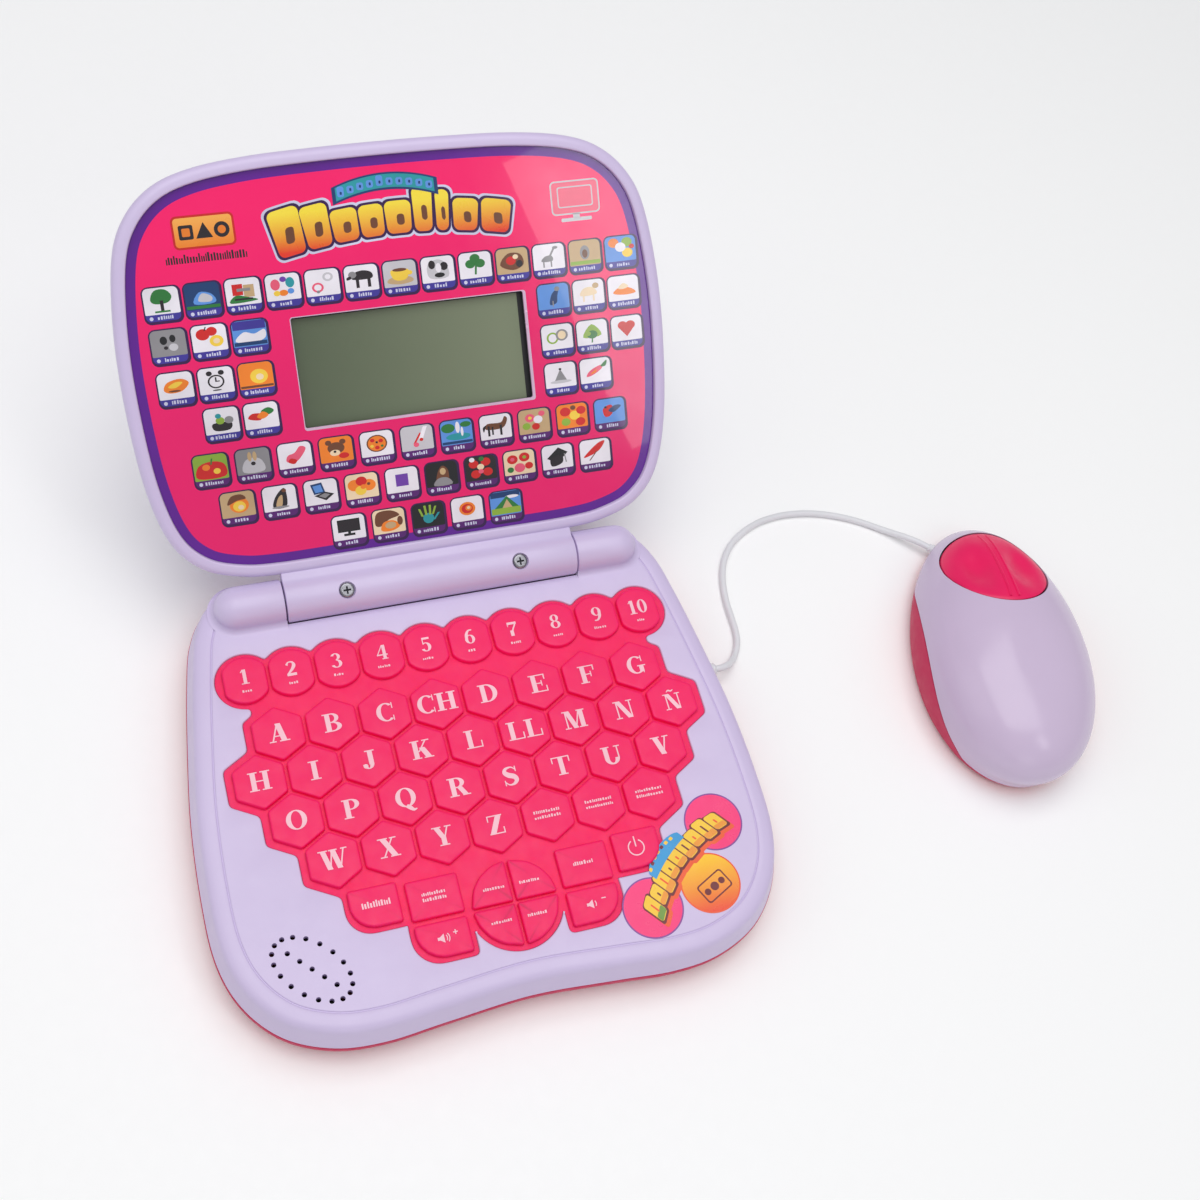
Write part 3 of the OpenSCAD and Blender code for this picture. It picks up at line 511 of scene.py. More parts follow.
def cut(obj, cutter_shape, place=None):
    """Cuts a closed shape out of a piece."""
    cutter = cutter_shape.make("cutter", [], "base", place=place)
    change = obj.modifiers.new("cut", "BOOLEAN")
    change.operation, change.solver, change.object = "DIFFERENCE", "EXACT", cutter
    bpy.context.view_layer.update()
    cut_mesh = bpy.data.meshes.new_from_object(obj.evaluated_get(bpy.context.evaluated_depsgraph_get()))
    obj.modifiers.clear()
    obj.data = cut_mesh
    bpy.data.objects.remove(cutter)
    cut_mesh.shade_smooth()
    cut_mesh.set_sharp_from_angle(angle=math.radians(35))
    return obj


# ---- Cord ----

MOUSE_PLACE = Matrix.Translation((MOUSE_AT[0] * MM, MOUSE_AT[1] * MM,
    0)) @ Matrix.Rotation(-math.radians(MOUSE_YAW), 4, "Z")


def relief(name, start, turn, profile, replaced):
    """A grooved rubber sleeve on the cord, turned about its line; the profile is (distance along, radius)."""
    shape = Shape()
    n = 32
    a = np.arange(n) * 2 * math.pi / n
    c, s = math.cos(math.radians(turn)), math.sin(math.radians(turn))
    rings = []
    for d, r in profile:
        across = r * np.cos(a)
        rings.append(np.column_stack((start[0] + d * c - across * s, start[1] + d * s + across * c, start[2] +
            r * np.sin(a))))
    shape.strip(rings).fan(rings[0]).fan(rings[-1])
    return shape.make(name, [CORD_SHEATH], "base", [replaced], "cord_sheath")


CASE_RELIEF = ((-7.4, 4.1), (-6.3, 4.1), (-6.2, 2.9), (-3, 2.95), (-2.7, 2.95), (-2.5, 2.6), (-2.1, 2.6),
    (-1.9, 2.75),
               (-1.5, 2.6), (-1.3, 2.25), (-0.9, 2.25), (-0.7, 2.35), (-0.2, 1.95), (0, 1.7))
MOUSE_RELIEF = ((0, 2.35), (2.2, 2.35), (2.5, 2.3), (2.7, 2.0), (3.1, 2.0), (3.3, 2.15), (4.1, 2.1), (4.3, 1.8),
    (4.7, 1.8),
                (4.9, 1.95), (5.7, 1.85), (5.9, 1.6), (6.3, 1.6), (6.5, 1.7), (7, 1.55))


def make_reliefs():
    case = relief("cord_relief_case", CORD_ROUTE[0], 0, CASE_RELIEF, "cord_grommet")
    spot_in_mouse = Vector((-10.7 * MM, 44.6 * MM, 5 * MM))
    at = MOUSE_PLACE @ spot_in_mouse
    tip = Vector(CORD_ROUTE[-1]) * MM
    heading = math.degrees(math.atan2(tip.y - at.y, tip.x - at.x))
    mouse = relief("cord_relief_mouse", tuple(c / MM for c in at), heading, MOUSE_RELIEF, "mouse_grommet")
    return [case, mouse]


def make_cord():
    """A round tube on the cord's route, with more rings than the CAD solid."""
    route = smooth_line(CORD_ROUTE, 4)
    sides = 16
    rings = []
    for i, p in enumerate(route):
        along = route[min(i + 1, len(route) - 1)] - route[max(i - 1, 0)]
        along /= np.linalg.norm(along)
        across = np.cross(along, (0, 0, 1))
        across /= np.linalg.norm(across)
        up = np.cross(across, along)
        a = (np.arange(sides) * 2 * math.pi / sides)[:, None]
        rings.append(p + CORD_R * (np.cos(a) * across + np.sin(a) * up))
    shape = Shape().strip(rings).fan(rings[0]).fan(rings[-1])
    cord = shape.make("mouse_cord_sheath", [CORD_SHEATH], "base", ["mouse_cord"], "cord_sheath")
    make_reliefs()


make_cord()

# ---- Case ----

CASE_LINE = whole_outline(CASE_HALF_LINE, CASE_HALF_W, 8)
LID_LINE = whole_outline(LID_HALF_LINE, LID_HALF_W, 8)


def letter_place(row, i):
    return ((i - (ROW_LENGTHS[row] - 1) / 2) * KEY_PITCH, FIRST_ROW_Y - row * ROW_PITCH)


def mirrored(line):
    return np.column_stack((-line[:, 0], line[:, 1]))[::-1]


def tab(box, side, r_outer, grow=0.0):
    """A rectangle between two corners, its lower outer corner rounded more. side is 1 right, -1 left."""
    (x0, y0), (x1, y1) = box
    corners = ((x0 - grow, y0 - grow), (x1 + grow, y0 - grow), (x1 + grow, y1 + grow), (x0 - grow, y1 + grow))
    line = rounded(corners, (1, r_outer, 1, 1))
    return line if side > 0 else mirrored(line)


def keypad_loops(grow):
    """The outlines whose union is the keypad: hexagons, number keys, dial and tabs, each grown by grow."""
    loops = []
    hex_r = (KEY_FLAT + grow + 0.5) / math.cos(math.pi / 6)
    for row, n in enumerate(ROW_LENGTHS):
        half, y = (n - 1) / 2 * KEY_PITCH, FIRST_ROW_Y - row * ROW_PITCH
        loops += [circle(side * half, y, hex_r, n=6, start=30) for side in (-1, 1)]
        loops.append(box_line(0, y, 2 * half, 20))
    loops += [circle((i - 4.5) * NUMBER_PITCH, NUMBER_Y, NUMBER_R - 0.4 + grow, n=36) for i in range(10)]
    loops.append(box_line(0, (30 + NUMBER_Y) / 2, 9 * NUMBER_PITCH, NUMBER_Y - 30))
    for side in (-1, 1):
        loops.append(tab(OUTER_TAB, side, 8, grow - 0.4))
        loops.append(tab(VOLUME_TAB, side, 9, grow - 0.4))
    loops.append(np.array(((-35, -47), (35, -47), (44, -26), (-44, -26)), float))
    loops.append(circle(0, DIAL_Y, DIAL_R - 0.4 + grow, n=48))
    return loops


OPENING = max(union(keypad_loops(OPENING_MARGIN))[2], key=len)
OPENING = relax(even(OPENING, 0.6), 5)

CASE_TOP_PROFILE = (
    (9.5, 24), (9.3, 24), (9.1, 23.9), (9.0, 23.55), (8.7, 23.5), (8.55, 23.6), (8.45, 23.8), (8.2, 23.9),
        (6.8, 23.84),
    (5.4, 23.7), (4.4, 23.45), (3.6, 23.05), (3.0, 22.45), (2.65, 21.7), (2.4, 20.8), (2.0, 19), (1.5, 17),
        (1.0, 15),
    (0.5, 13.2), (0.3, 12.5), (0.35, 12.15), (0.5, 12.08), (2.4, 12.08), (3.4, 18), (4.2, 20.6), (5, CEILING_Z),
)
GRILLE_AT = (-67.5, -54)


def grille_holes():
    """Round sound holes: a turned ellipse of them and a line along its middle."""
    spots = [(14 * math.cos(a), 8 * math.sin(a)) for a in np.arange(18) * math.pi / 9]
    spots += [(k * 4.6, 0) for k in (-2, -1, 0, 1, 2)]
    turn = math.radians(-45)
    return [circle(GRILLE_AT[0] + x * math.cos(turn) - y * math.sin(turn),
                   GRILLE_AT[1] + x * math.sin(turn) + y * math.cos(turn), 0.85, n=16) for x, y in spots]


def cylinder(r, x0, x1, y, z, n=64):
    """A closed cylinder along X."""
    a = np.arange(n) * 2 * math.pi / n
    rings = [np.column_stack((np.full(n, x), y + r * np.cos(a), z + r * np.sin(a))) for x in (x0, x1)]
    return Shape().strip(rings).fan(rings[0]).fan(rings[1])


def capsule_rings(r, x0, x1, n=48):
    """Rings round the hinge axis: a cylinder from x0 to x1 with a round end at x1."""
    side = 1 if x1 > x0 else -1
    stations = [(x0, r - 0.5), (x0 + side * 0.15, r - 0.15), (x0 + side * 0.5, r), (x1, r)]
    stations += [(x1 + side * r * math.sin(t),
        r * math.cos(t)) for t in np.radians((12, 24, 36, 48, 60, 71, 81, 88))]
    a = np.arange(n) * 2 * math.pi / n
    return [np.column_stack((np.full(n, x), HINGE_Y + q * np.cos(a), HINGE_Z + q * np.sin(a))) for x, q in stations]


def make_case_top():
    grille = grille_holes()
    shape = Shape().sweep(CASE_LINE, CASE_TOP_PROFILE)
    lip = ((0.0, DECK_Z), (0.25, DECK_Z - 0.06), (0.42, DECK_Z - 0.25), (0.5, DECK_Z - 0.6), (0.5, CEILING_Z))
    grown = inset(OPENING, -0.5)
    shape.fill(inset(CASE_LINE, 9.5), [grown, *grille], DECK_Z)
    shape.strip([ring(inset(OPENING, d - 0.5), z) for d, z in lip])
    shape.fill(inset(CASE_LINE, 5), [OPENING, *grille], CEILING_Z)
    for hole in grille:
        shape.strip([ring(hole, DECK_Z), ring(hole, CEILING_Z)])
    obj = shape.make("case_top_shell", [LAVENDER], "base", ["base_top_shell"], "lavender_plastic")
    trough_r, trough_end = BARREL_R + BARREL_CLEAR, BARREL_HALF + 0.25
    cut(obj, cylinder(trough_r, -trough_end, trough_end, HINGE_Y, HINGE_Z))
    # the wall of the trough below the deck
    a = np.radians(np.linspace(198, 342, 40))
    wall = Shape()
    for r in (trough_r, trough_r + 1.4):
        wall.strip([np.column_stack((np.full(40, x), HINGE_Y + r * np.cos(a), HINGE_Z + r * np.sin(a)))
                    for x in (-trough_end, trough_end)], closed=False)
    wall.make("hinge_trough", [LAVENDER], "base", slot="lavender_plastic")
    for side, name in ((-1, "left"), (1, "right")):
        rings = capsule_rings(KNUCKLE_R, side * (BARREL_HALF + 0.5), side * KNUCKLE_BALL_X)
        knuckle = Shape().strip(rings).fan(rings[0]).fan(rings[-1])
        knuckle.make(f"hinge_knuckle_{name}", [LAVENDER], "base", slot="lavender_plastic")
        fillet(side, name)


def fillet(side, name):
    """The curved foot where a knuckle meets the deck, in front of it and round its outer end."""
    r, reach, above = KNUCKLE_R, 2.4, HINGE_Z - DECK_Z
    # a circle standing on the deck and touching the capsule
    middle = math.sqrt((r + reach) ** 2 - (above - reach) ** 2)
    touch = math.atan2(above - reach, middle)
    path = [(BARREL_HALF + 0.5, -1.0, 0.0)]
    path += [(x, -1.0, 0.0) for x in np.linspace(BARREL_HALF + 3, KNUCKLE_BALL_X, 6)]
    path += [(KNUCKLE_BALL_X, -math.cos(t), math.sin(t)) for t in np.radians(np.arange(9, 180, 9))]
    path += [(x, 1.0, 0.0) for x in np.linspace(KNUCKLE_BALL_X, BARREL_HALF + 0.5, 7)]
    rings = []
    for x, out_y, out_x in path:
        line = []
        for t in np.linspace(0, math.pi / 2, 8):
            angle = -math.pi / 2 - t * (1 - touch / (math.pi / 2))
            d = middle + reach * math.cos(angle)
            z = DECK_Z + reach + reach * math.sin(angle)
            line.append((side * (x + out_x * d), HINGE_Y + out_y * d, z + 0.01))
        rings.append(np.array(line))
    Shape().strip([np.array([q[k] for q in rings]) for k in range(8)], closed=False).make(
        f"knuckle_foot_{name}", [LAVENDER], "base", slot="lavender_plastic")


CASE_BOTTOM_PROFILE = (
    (5.8, 1.5), (5.2, 1.5), (4.0, 2), (2.9, 2.9), (1.9, 4), (1.1, 5.5), (0.5, 7.2), (0.15, 9), (0.0, 10.5),
        (0.0, 11.5),
    (0.12, 11.92), (0.4, 12), (3.6, 12), (4.2, 9.5), (5.0, 5.9), (6.8, 3.7), (7.4, 3.5),
)
CASE_SCREWS = ((-30, 74), (30, 74), (-85, -9), (85, -9), (-30, -67.8), (30, -67.8))
DOOR_AT, DOOR_SIZE = (10, 30), (60, 42)
FEET = ((0, 0), (62, -58), (-62, -58), (68, 68), (-68, 68))


def make_case_bottom():
    door = box_line(*DOOR_AT, *DOOR_SIZE, 3)
    wells = [circle(x, y, 3.6, n=32) for x, y in CASE_SCREWS]
    shape = Shape().sweep(CASE_LINE, CASE_BOTTOM_PROFILE)
    shape.fill(inset(CASE_LINE, 5.8), [door, *wells], FLOOR_Z)
    shape.fill(inset(CASE_LINE, 7.4), [door, *wells], 3.5)
    shape.strip([ring(door, FLOOR_Z), ring(door, 3.5)])
    for well in wells:
        shape.strip([ring(well, FLOOR_Z), ring(well, 5)])
        shape.fan(ring(well, 5))
    shape.make("case_bottom_shell", [PINK_SHELL], "base", ["base_bottom_shell"], "pink_plastic")


make_case_top()
make_case_bottom()

# ---- Keys ----


def hexagon(x, y, flat, r=1.6):
    return rounded(circle(x, y, flat / math.cos(math.pi / 6), n=6, start=30), r)


def number_line(x, y):
    """A round key with its two sides cut flat."""
    cut_at = math.degrees(math.acos(NUMBER_HALF_W / NUMBER_R))
    top = arc(x, y, NUMBER_R, NUMBER_R, cut_at, 180 - cut_at, 18)
    bottom = arc(x, y, NUMBER_R, NUMBER_R, 180 + cut_at, 360 - cut_at, 18)
    return relax(even(np.vstack((top, bottom)), 0.9), 1)


KEY_EDGE = ((0, -3.6), (0, -0.75), (0.06, -0.46), (0.2, -0.22), (0.42, -0.08), (0.7, -0.02), (1.1, 0))


def key_cap(shape, line, top=KEY_TOP_Z, bottom=KEY_BOTTOM_Z, crown=0.12):
    """A moulded key: an eased edge and a slightly crowned top."""
    shape.strip([ring(inset(line, 0.05), bottom)] + [ring(inset(line, d), top - crown + z) for d, z in KEY_EDGE])
    rim = inset(line, KEY_EDGE[-1][0])
    middle = rim.mean(0)
    rings = [ring(middle + (rim - middle) * s, top - crown * s ** 2) for s in (1, 0.7, 0.35)]
    shape.strip(rings).fan(rings[-1], (*middle, top))
    shape.fan(ring(inset(line, 0.05), bottom))


def bar(x, y, w, h):
    """A rectangle from its lower left corner."""
    return np.array(((x, y), (x + w, y), (x + w, y + h), (x, y + h)), float)


def slant(x0, x1, w, y0=0.0, y1=7.0):
    """A leaning stroke of a given width from (x0, y0) to (x1, y1)."""
    return np.array(((x0, y0), (x0 + w, y0), (x1 + w, y1), (x1, y1)), float)


def bowl(cx, cy, rx, ry, thick, thin, a0=0, a1=360):
    """A round stroke, thick at its sides and thin above and below."""
    outer = arc(cx, cy, rx, ry, a0, a1, 28)
    inner = arc(cx, cy, rx - thick, ry - thin, a0, a1, 28)
    return [np.array((outer[i], outer[i + 1], inner[i + 1], inner[i])) for i in range(len(outer) - 1)]


def pen(points, widths):
    """A stroke through points whose width changes along it."""
    line = smooth_line([(*p, w) for p, w in zip(points, widths)], 6)
    along = np.gradient(line[:, :2], axis=0)
    along /= np.linalg.norm(along, axis=1)[:, None]
    side = np.stack((-along[:, 1], along[:, 0]), 1) * line[:, 2:] / 2
    left, right = line[:, :2] + side, line[:, :2] - side
    return [np.array((left[i], left[i + 1], right[i + 1], right[i])) for i in range(len(line) - 1)]


STEM, HAIR, SERIF = 1.75, 0.42, 0.8


def stem(x, y=0.0, h=7.0, thick=STEM, reach=SERIF):
    """An upright with a thin serif at its foot and head."""
    return ([bar(x, y, thick, h), bar(x - reach, y, thick + 2 * reach, HAIR),
        bar(x - reach, y + h - HAIR, thick + 2 * reach, HAIR)])


def letter(c):
    """The strokes of a bold capital with fine serifs, or of a figure, and its width. Capitals are 7 mm high."""
    s = SERIF
    if c == "A":
        return ([slant(0.9, 3.3, 0.55, 0.2), slant(4.3, 2.75, 1.95), bar(1.7, 2, 3.6, HAIR),
            bar(0, 0, 2.4, HAIR), bar(3.6, 0, 3.6, HAIR)], 7.2)
    if c == "B":
        return (stem(s) + bowl(3, 5.2, 2.7, 1.8, 1.5, 0.4, -90, 90) +
            bowl(3, 1.85, 3.3, 1.85, 1.6, 0.4, -90, 90) +
            [bar(s, 3.3, 2.4, 0.4), bar(s, 0, 2.4, 0.4), bar(s, 6.6, 2.4, 0.4)], 6.4)
    if c == "C":
        return bowl(3.5, 3.5, 3.5, 3.6, 1.7, 0.45, 48, 312) + [bar(5.7, 4.7, 0.4, 2.3), bar(5.7, 0, 0.35, 2)], 6.3
    if c == "D":
        return (stem(s) + bowl(2.9, 3.5, 3.9, 3.5, 1.75, 0.42, -90, 90) +
            [bar(s, 0, 2.4, 0.42), bar(s, 6.58, 2.4, 0.42)], 6.9)
    if c in "EF":
        strokes = stem(s) + [bar(s, 6.58, 5.3, 0.42), bar(5.6, 4.9, 0.45, 2.1), bar(s, 3.3, 3.8, 0.4),
            bar(4.3, 2.4, 0.4, 2.2)]
        return strokes + ([bar(s, 0, 5.6, 0.42), bar(5.95, 0, 0.45, 2.3)] if c == "E" else []), 6.5
    if c == "G":
        return letter("C")[0] + [bar(4.5, 0.5, 1.7, 2.6), bar(3.8, 2.8, 3.2, HAIR)], 7.0
    if c == "H":
        return stem(s) + stem(s + 4.3) + [bar(s, 3.3, 5, 0.42)], 7.7
    if c == "I":
        return stem(s + 0.1, reach=0.95), 3.6
    if c == "J":
        return ([bar(2.4, 1.6, STEM, 5.4), bar(1.5, 6.58, 3.4, HAIR), circle(1.05, 1.2, 0.85, n=14)] +
            bowl(2.15, 1.9, 2, 1.9, 1.5, 0.4, 180, 360), 4.9)
    if c == "K":
        return (stem(s) + [slant(2.4, 5.6, 0.6, 2.6, 7), slant(5, 2.9, 2.1, 0, 4.2), bar(4.4, 6.58, 2.6, HAIR),
            bar(4.2, 0, 3.5, HAIR)], 7.6)
    if c == "L":
        return stem(s) + [bar(s, 0, 5.2, 0.42), bar(5.6, 0, 0.45, 2.6)], 6.2
    if c == "M":
        return ([bar(0.9, 0, 0.5, 7), bar(0, 0, 2.3, HAIR), bar(0, 6.58, 2.4, HAIR), slant(3.3, 0.9, 1.8),
            slant(3.9, 6.1, 0.5)] + stem(6.1, reach=0.7), 8.6)
    if c in ("N", "NT"):
        strokes = [bar(0.9, 0, 0.5, 7), bar(0, 0, 2.3, HAIR), bar(0, 6.58, 2.2, HAIR), slant(4.5, 0.8, 1.9),
            bar(5.9, 0, 0.5, 7), bar(5, 6.58, 2.3, HAIR)]
        if c == "NT":
            strokes += pen(((2, 7.9), (2.9, 8.5), (4, 8.1), (5, 8.6)), (0.3, 0.6, 0.6, 0.3))
        return strokes, 7.3
    if c in "OQ":
        strokes = bowl(3.6, 3.5, 3.6, 3.6, 1.75, 0.4)
        return (strokes + (pen(((3.4, 0.4), (4.4, -0.4), (5.6, -1.4), (6.8, -1.2)),
            (1.3, 1.5, 1, 0.3)) if c == "Q" else []), 7.2)
    if c in "PR":
        strokes = stem(s) + bowl(3, 5.05, 3, 1.95, 1.6, 0.4, -90, 90) + [bar(s, 3.1, 2.4, 0.4),
            bar(s, 6.6, 2.4, 0.4)]
        return (strokes + ([slant(4.9, 3, 1.9, 0, 3.4), bar(4.6, 0, 2.9, HAIR)] if c == "R" else []),
            7.3 if c == "R" else 6.1)
    if c == "S":
        return pen(((5, 5.7), (3.6, 6.75), (1.6, 6.4), (1, 5.1), (2.2, 3.9), (4, 3.1), (4.7, 1.8), (3.7, 0.5),
            (1.9, 0.25), (0.5, 1.4)),
                   (0.4, 0.5, 1, 1.6, 1.9, 1.9, 1.6, 1, 0.5, 0.4)) + [bar(4.8, 5, 0.4, 2),
                       bar(0.3, 0, 0.4, 2.1)], 5.6
    if c == "T":
        return ([bar(2.6, 0, STEM, 7), bar(1.7, 0, 3.5, HAIR), bar(0.1, 6.58, 6.7, 0.42),
            bar(0.1, 4.7, 0.42, 2.3), bar(6.4, 4.7, 0.42, 2.3)], 6.9)
    if c == "U":
        return ([bar(s, 2.4, STEM, 4.6), bar(0, 6.58, 3.3, HAIR), bar(5.9, 2.4, 0.5, 4.6),
            bar(5, 6.58, 2.3, HAIR)] + bowl(3.6, 2.5, 2.8, 2.55, 1.7, 0.6, 180, 360), 7.3)
    if c == "V":
        return ([slant(2.8, 0.7, 2.0), slant(3.4, 5.4, 0.55), bar(0, 6.58, 3.5, HAIR),
            bar(4.5, 6.58, 2.4, HAIR)], 6.9)
    if c == "W":
        return ([slant(2.4, 0.7, 1.8), slant(3.1, 4.6, 0.5), slant(5.8, 4.1, 1.8), slant(6.6, 8.6, 0.5),
            bar(0, 6.58, 3.3, HAIR), bar(3.6, 6.58, 3, HAIR), bar(7.8, 6.58, 2.2, HAIR)], 10)
    if c == "X":
        return ([slant(4.3, 0.7, 2.1), slant(1, 5, 0.55), bar(0, 0, 2.4, HAIR), bar(3.6, 0, 3.5, HAIR),
            bar(0, 6.58, 3.5, HAIR), bar(4.2, 6.58, 2.3, HAIR)], 7)
    if c == "Y":
        return ([slant(2.5, 0.6, 1.9, 3, 7), slant(3.8, 5.4, 0.55, 3, 7), bar(2.7, 0, STEM, 3.4),
            bar(1.8, 0, 3.5, HAIR), bar(0, 6.58, 3.3, HAIR), bar(4.5, 6.58, 2.4, HAIR)], 6.9)
    if c == "Z":
        return ([slant(0.2, 3.5, 2.1), bar(0.2, 0, 5.6, 0.42), bar(0.2, 6.58, 5.5, 0.42),
            bar(0.2, 4.8, 0.42, 2.2), bar(5.4, 0, 0.42, 2.3)], 6)
    if c == "0":
        return bowl(2.5, 3.5, 2.4, 3.5, 1.45, 0.35), 5
    if c == "1":
        return [bar(1.2, 0, 1.6, 7), bar(0.2, 0, 3.6, HAIR), slant(0.2, 1.2, 0.6, 5.6, 7)], 4
    if c == "2":
        return (pen(((0.7, 5.3), (1.6, 6.6), (3.4, 6.5), (4, 5), (3, 3.2), (1.2, 1.4), (0.5, 0.6)),
            (1.2, 0.6, 0.8, 1.6, 1.3, 0.8, 0.5)) + [bar(0.3, 0, 4.4, 1.3)], 4.9)
    if c == "3":
        return bowl(2.1, 5.3, 2.2, 1.7, 1.4, 0.4, -90, 160) + bowl(2.1, 1.9, 2.6, 1.95, 1.5, 0.4, -160, 90), 4.8
    if c == "4":
        return [bar(3, 0, 1.5, 7), slant(0.1, 3, 0.5, 2.2, 7), bar(0.1, 1.9, 5.1, 0.6), bar(2.3, 0, 2.9, HAIR)], 5.2
    if c == "5":
        return (bowl(2.2, 2.25, 2.5, 2.25, 1.5, 0.4, -155, 125) +
            [bar(0.9, 3.6, 0.45, 3.4), bar(0.9, 6, 3.5, 1)], 4.8)
    if c == "6":
        return (bowl(2.5, 2.2, 2.4, 2.2, 1.4, 0.35) +
            pen(((0.9, 2.2), (1.2, 4.6), (2.5, 6.5), (4.2, 6.7)), (1.4, 1.4, 0.8, 0.5)), 5)
    if c == "7":
        return ([bar(0.3, 5.8, 4.5, 1.2), slant(1.3, 4.1, 0.8, 1.6, 6.4), bar(1.1, 0, 1.7, 2.8),
            bar(0.3, 4.8, 0.4, 2.2)], 4.9)
    if c == "8":
        return bowl(2.5, 5.25, 2.1, 1.75, 1.3, 0.35) + bowl(2.5, 1.9, 2.45, 1.9, 1.4, 0.35), 5
    return (bowl(2.5, 4.8, 2.4, 2.2, 1.4, 0.35) +
        pen(((4.1, 4.8), (3.8, 2.4), (2.5, 0.5), (0.8, 0.3)), (1.4, 1.4, 0.8, 0.5)), 5)


def legend(x, y, text, height=7.0, narrow=1.0):
    """Strokes of a row of characters, centred on a point."""
    strokes, at = [], 0.0
    for c in text:
        these, w = letter(c)
        strokes += [s + (at, 0) for s in these]
        at += w + 0.5
    k = height / 7
    return [((s - ((at - 0.5) / 2, 3.5)) * (k * narrow, k) + (x, y)) for s in strokes]


def print_on(shape, strokes, z=KEY_TOP_Z, high=0.035):
    """Ink with a small thickness, its underside just inside the key's top."""
    shape.solid(strokes, z - 0.16, z + high, 1)


def greeked(x, y, rows, w, seed, h=0.62):
    """Lines of tiny marks that stand for a caption."""
    rng = random.Random(seed)
    strokes = []
    for k in range(rows):
        at, level = -w / 2, y + ((rows - 1) / 2 - k) * 1.9
        while at < w / 2 - 0.5:
            step = rng.uniform(0.55, 1.05)
            strokes.append(bar(x + at, level - h / 2, step * 0.62, h * rng.uniform(0.9, 1.5)))
            at += step
    return strokes


def make_letter_keys():
    for row, names in enumerate(LETTER_ROWS):
        for i, name in enumerate(names.split()):
            x, y = letter_place(row, i)
            shape = Shape()
            key_cap(shape, hexagon(x, y, KEY_FLAT))
            text = ("NT",) if name == "n_tilde" else tuple(name.upper())
            print_on(shape, legend(x, y - (0.5 if name == "n_tilde" else 0), text,
                6.6 if name != "n_tilde" else 6.0))
            shape.make(f"key_{name}_rubber", [KEY_RUBBER, LEGEND], f"key_{name}_cap", [f"key_{name}"], "key_rubber")


make_letter_keys()


def dial_quarter(q):
    r, g = DIAL_R, 0.5
    start = math.asin(g / r)
    line = np.vstack((((g, g),), arc(0, 0, r, r, math.degrees(start), 90 - math.degrees(start), 14)))
    line = rounded(line[[0, 1, 4, 7, 10, 14]], (0.5, 0.8, 9, 9, 9, 0.8), 4)
    turn = q * math.pi / 2
    c, s = math.cos(turn), math.sin(turn)
    return line @ np.array(((c, s), (-s, c))) + (0, DIAL_Y)


def speaker_mark(x, y, waves, plus):
    """A small loudspeaker, its sound waves and a plus or a minus."""
    strokes = [bar(x - 1.7, y - 0.5, 1, 1),
        np.array(((x - 0.9, y - 0.5), (x + 0.5, y - 1.5), (x + 0.5, y + 1.5), (x - 0.9, y + 0.5)))]
    for k in range(waves):
        strokes += bowl(x + 0.7, y, 0.9 + 0.75 * k, 1.3 + 0.6 * k, 0.32, 0.32, -50, 50)
    strokes.append(bar(x + 3.6, y + 1.1, 1.5, 0.35))
    if plus:
        strokes.append(bar(x + 4.17, y + 0.52, 0.36, 1.5))
    return strokes


def power_mark(x, y):
    return bowl(x, y, 2.9, 2.9, 0.42, 0.42, 118, 422) + [bar(x - 0.22, y + 0.3, 0.44, 3.6)]


def make_other_keys():
    shape = Shape()
    for i in range(10):
        x = (i - 4.5) * NUMBER_PITCH
        key_cap(shape, number_line(x, NUMBER_Y))
        print_on(shape, legend(x, NUMBER_Y + 1, str(i + 1), 5.4, 0.95) +
            greeked(x, NUMBER_Y - 4.4, 1, (3.2, 3, 3.8, 4.6, 4.4, 3.2, 3.6, 3.6, 4.4, 3.2)[i], i))
    shape.make("number_keys_rubber", [KEY_RUBBER, LEGEND], "number_keys", ["number_keys"], "key_rubber")

    shape = Shape()
    for i in (4, 5, 6):
        x, y = letter_place(3, i)
        key_cap(shape, hexagon(x, y, KEY_FLAT))
        print_on(shape, greeked(x, y, 2, 9.6, 20 + i, 0.7))
    for side in (-1, 1):
        key_cap(shape, tab(MENU_TAB, side, 1))
    x = (OUTER_TAB[0][0] + OUTER_TAB[1][0]) / 2
    key_cap(shape, tab(OUTER_TAB, -1, 8))
    print_on(shape, greeked(-25.3, -40, 2, 8, 31, 0.8) + greeked(25.3, -40, 1, 7.4, 32, 0.9) +
        greeked(-x + 0.5, -38.6, 1, 9.4, 33, 1.5))
    for q in range(4):
        line = dial_quarter(q)
        key_cap(shape, line)
        cx, cy = (DIAL_R * 0.46 * math.cos(math.pi / 4 + q * math.pi / 2) * 1.3,
            DIAL_R * 0.46 * math.sin(math.pi / 4 + q * math.pi / 2) * 1.2)
        print_on(shape, greeked(cx, DIAL_Y + cy, 1, 7, 40 + q, 0.7))
    shape.make("menu_keys_rubber", [KEY_RUBBER, LEGEND], "menu_keys", ["menu_keys"], "key_rubber")

    vx, vy = (VOLUME_TAB[0][0] + VOLUME_TAB[1][0]) / 2, (VOLUME_TAB[0][1] + VOLUME_TAB[1][1]) / 2
    for name, line, marks in (
        ("key_power", tab(OUTER_TAB, 1, 8), power_mark(x - 0.4, -38.8)),
        ("key_volume_up", tab(VOLUME_TAB, -1, 9), speaker_mark(-vx - 0.5, vy, 2, True)),
        ("key_volume_down", tab(VOLUME_TAB, 1, 9), speaker_mark(vx - 1.2, vy, 1, False)),
    ):
        shape = Shape()
        key_cap(shape, line)
        print_on(shape, marks)
        shape.make(f"{name}_rubber", [KEY_RUBBER, LEGEND], f"{name}_cap", [name], "key_rubber")


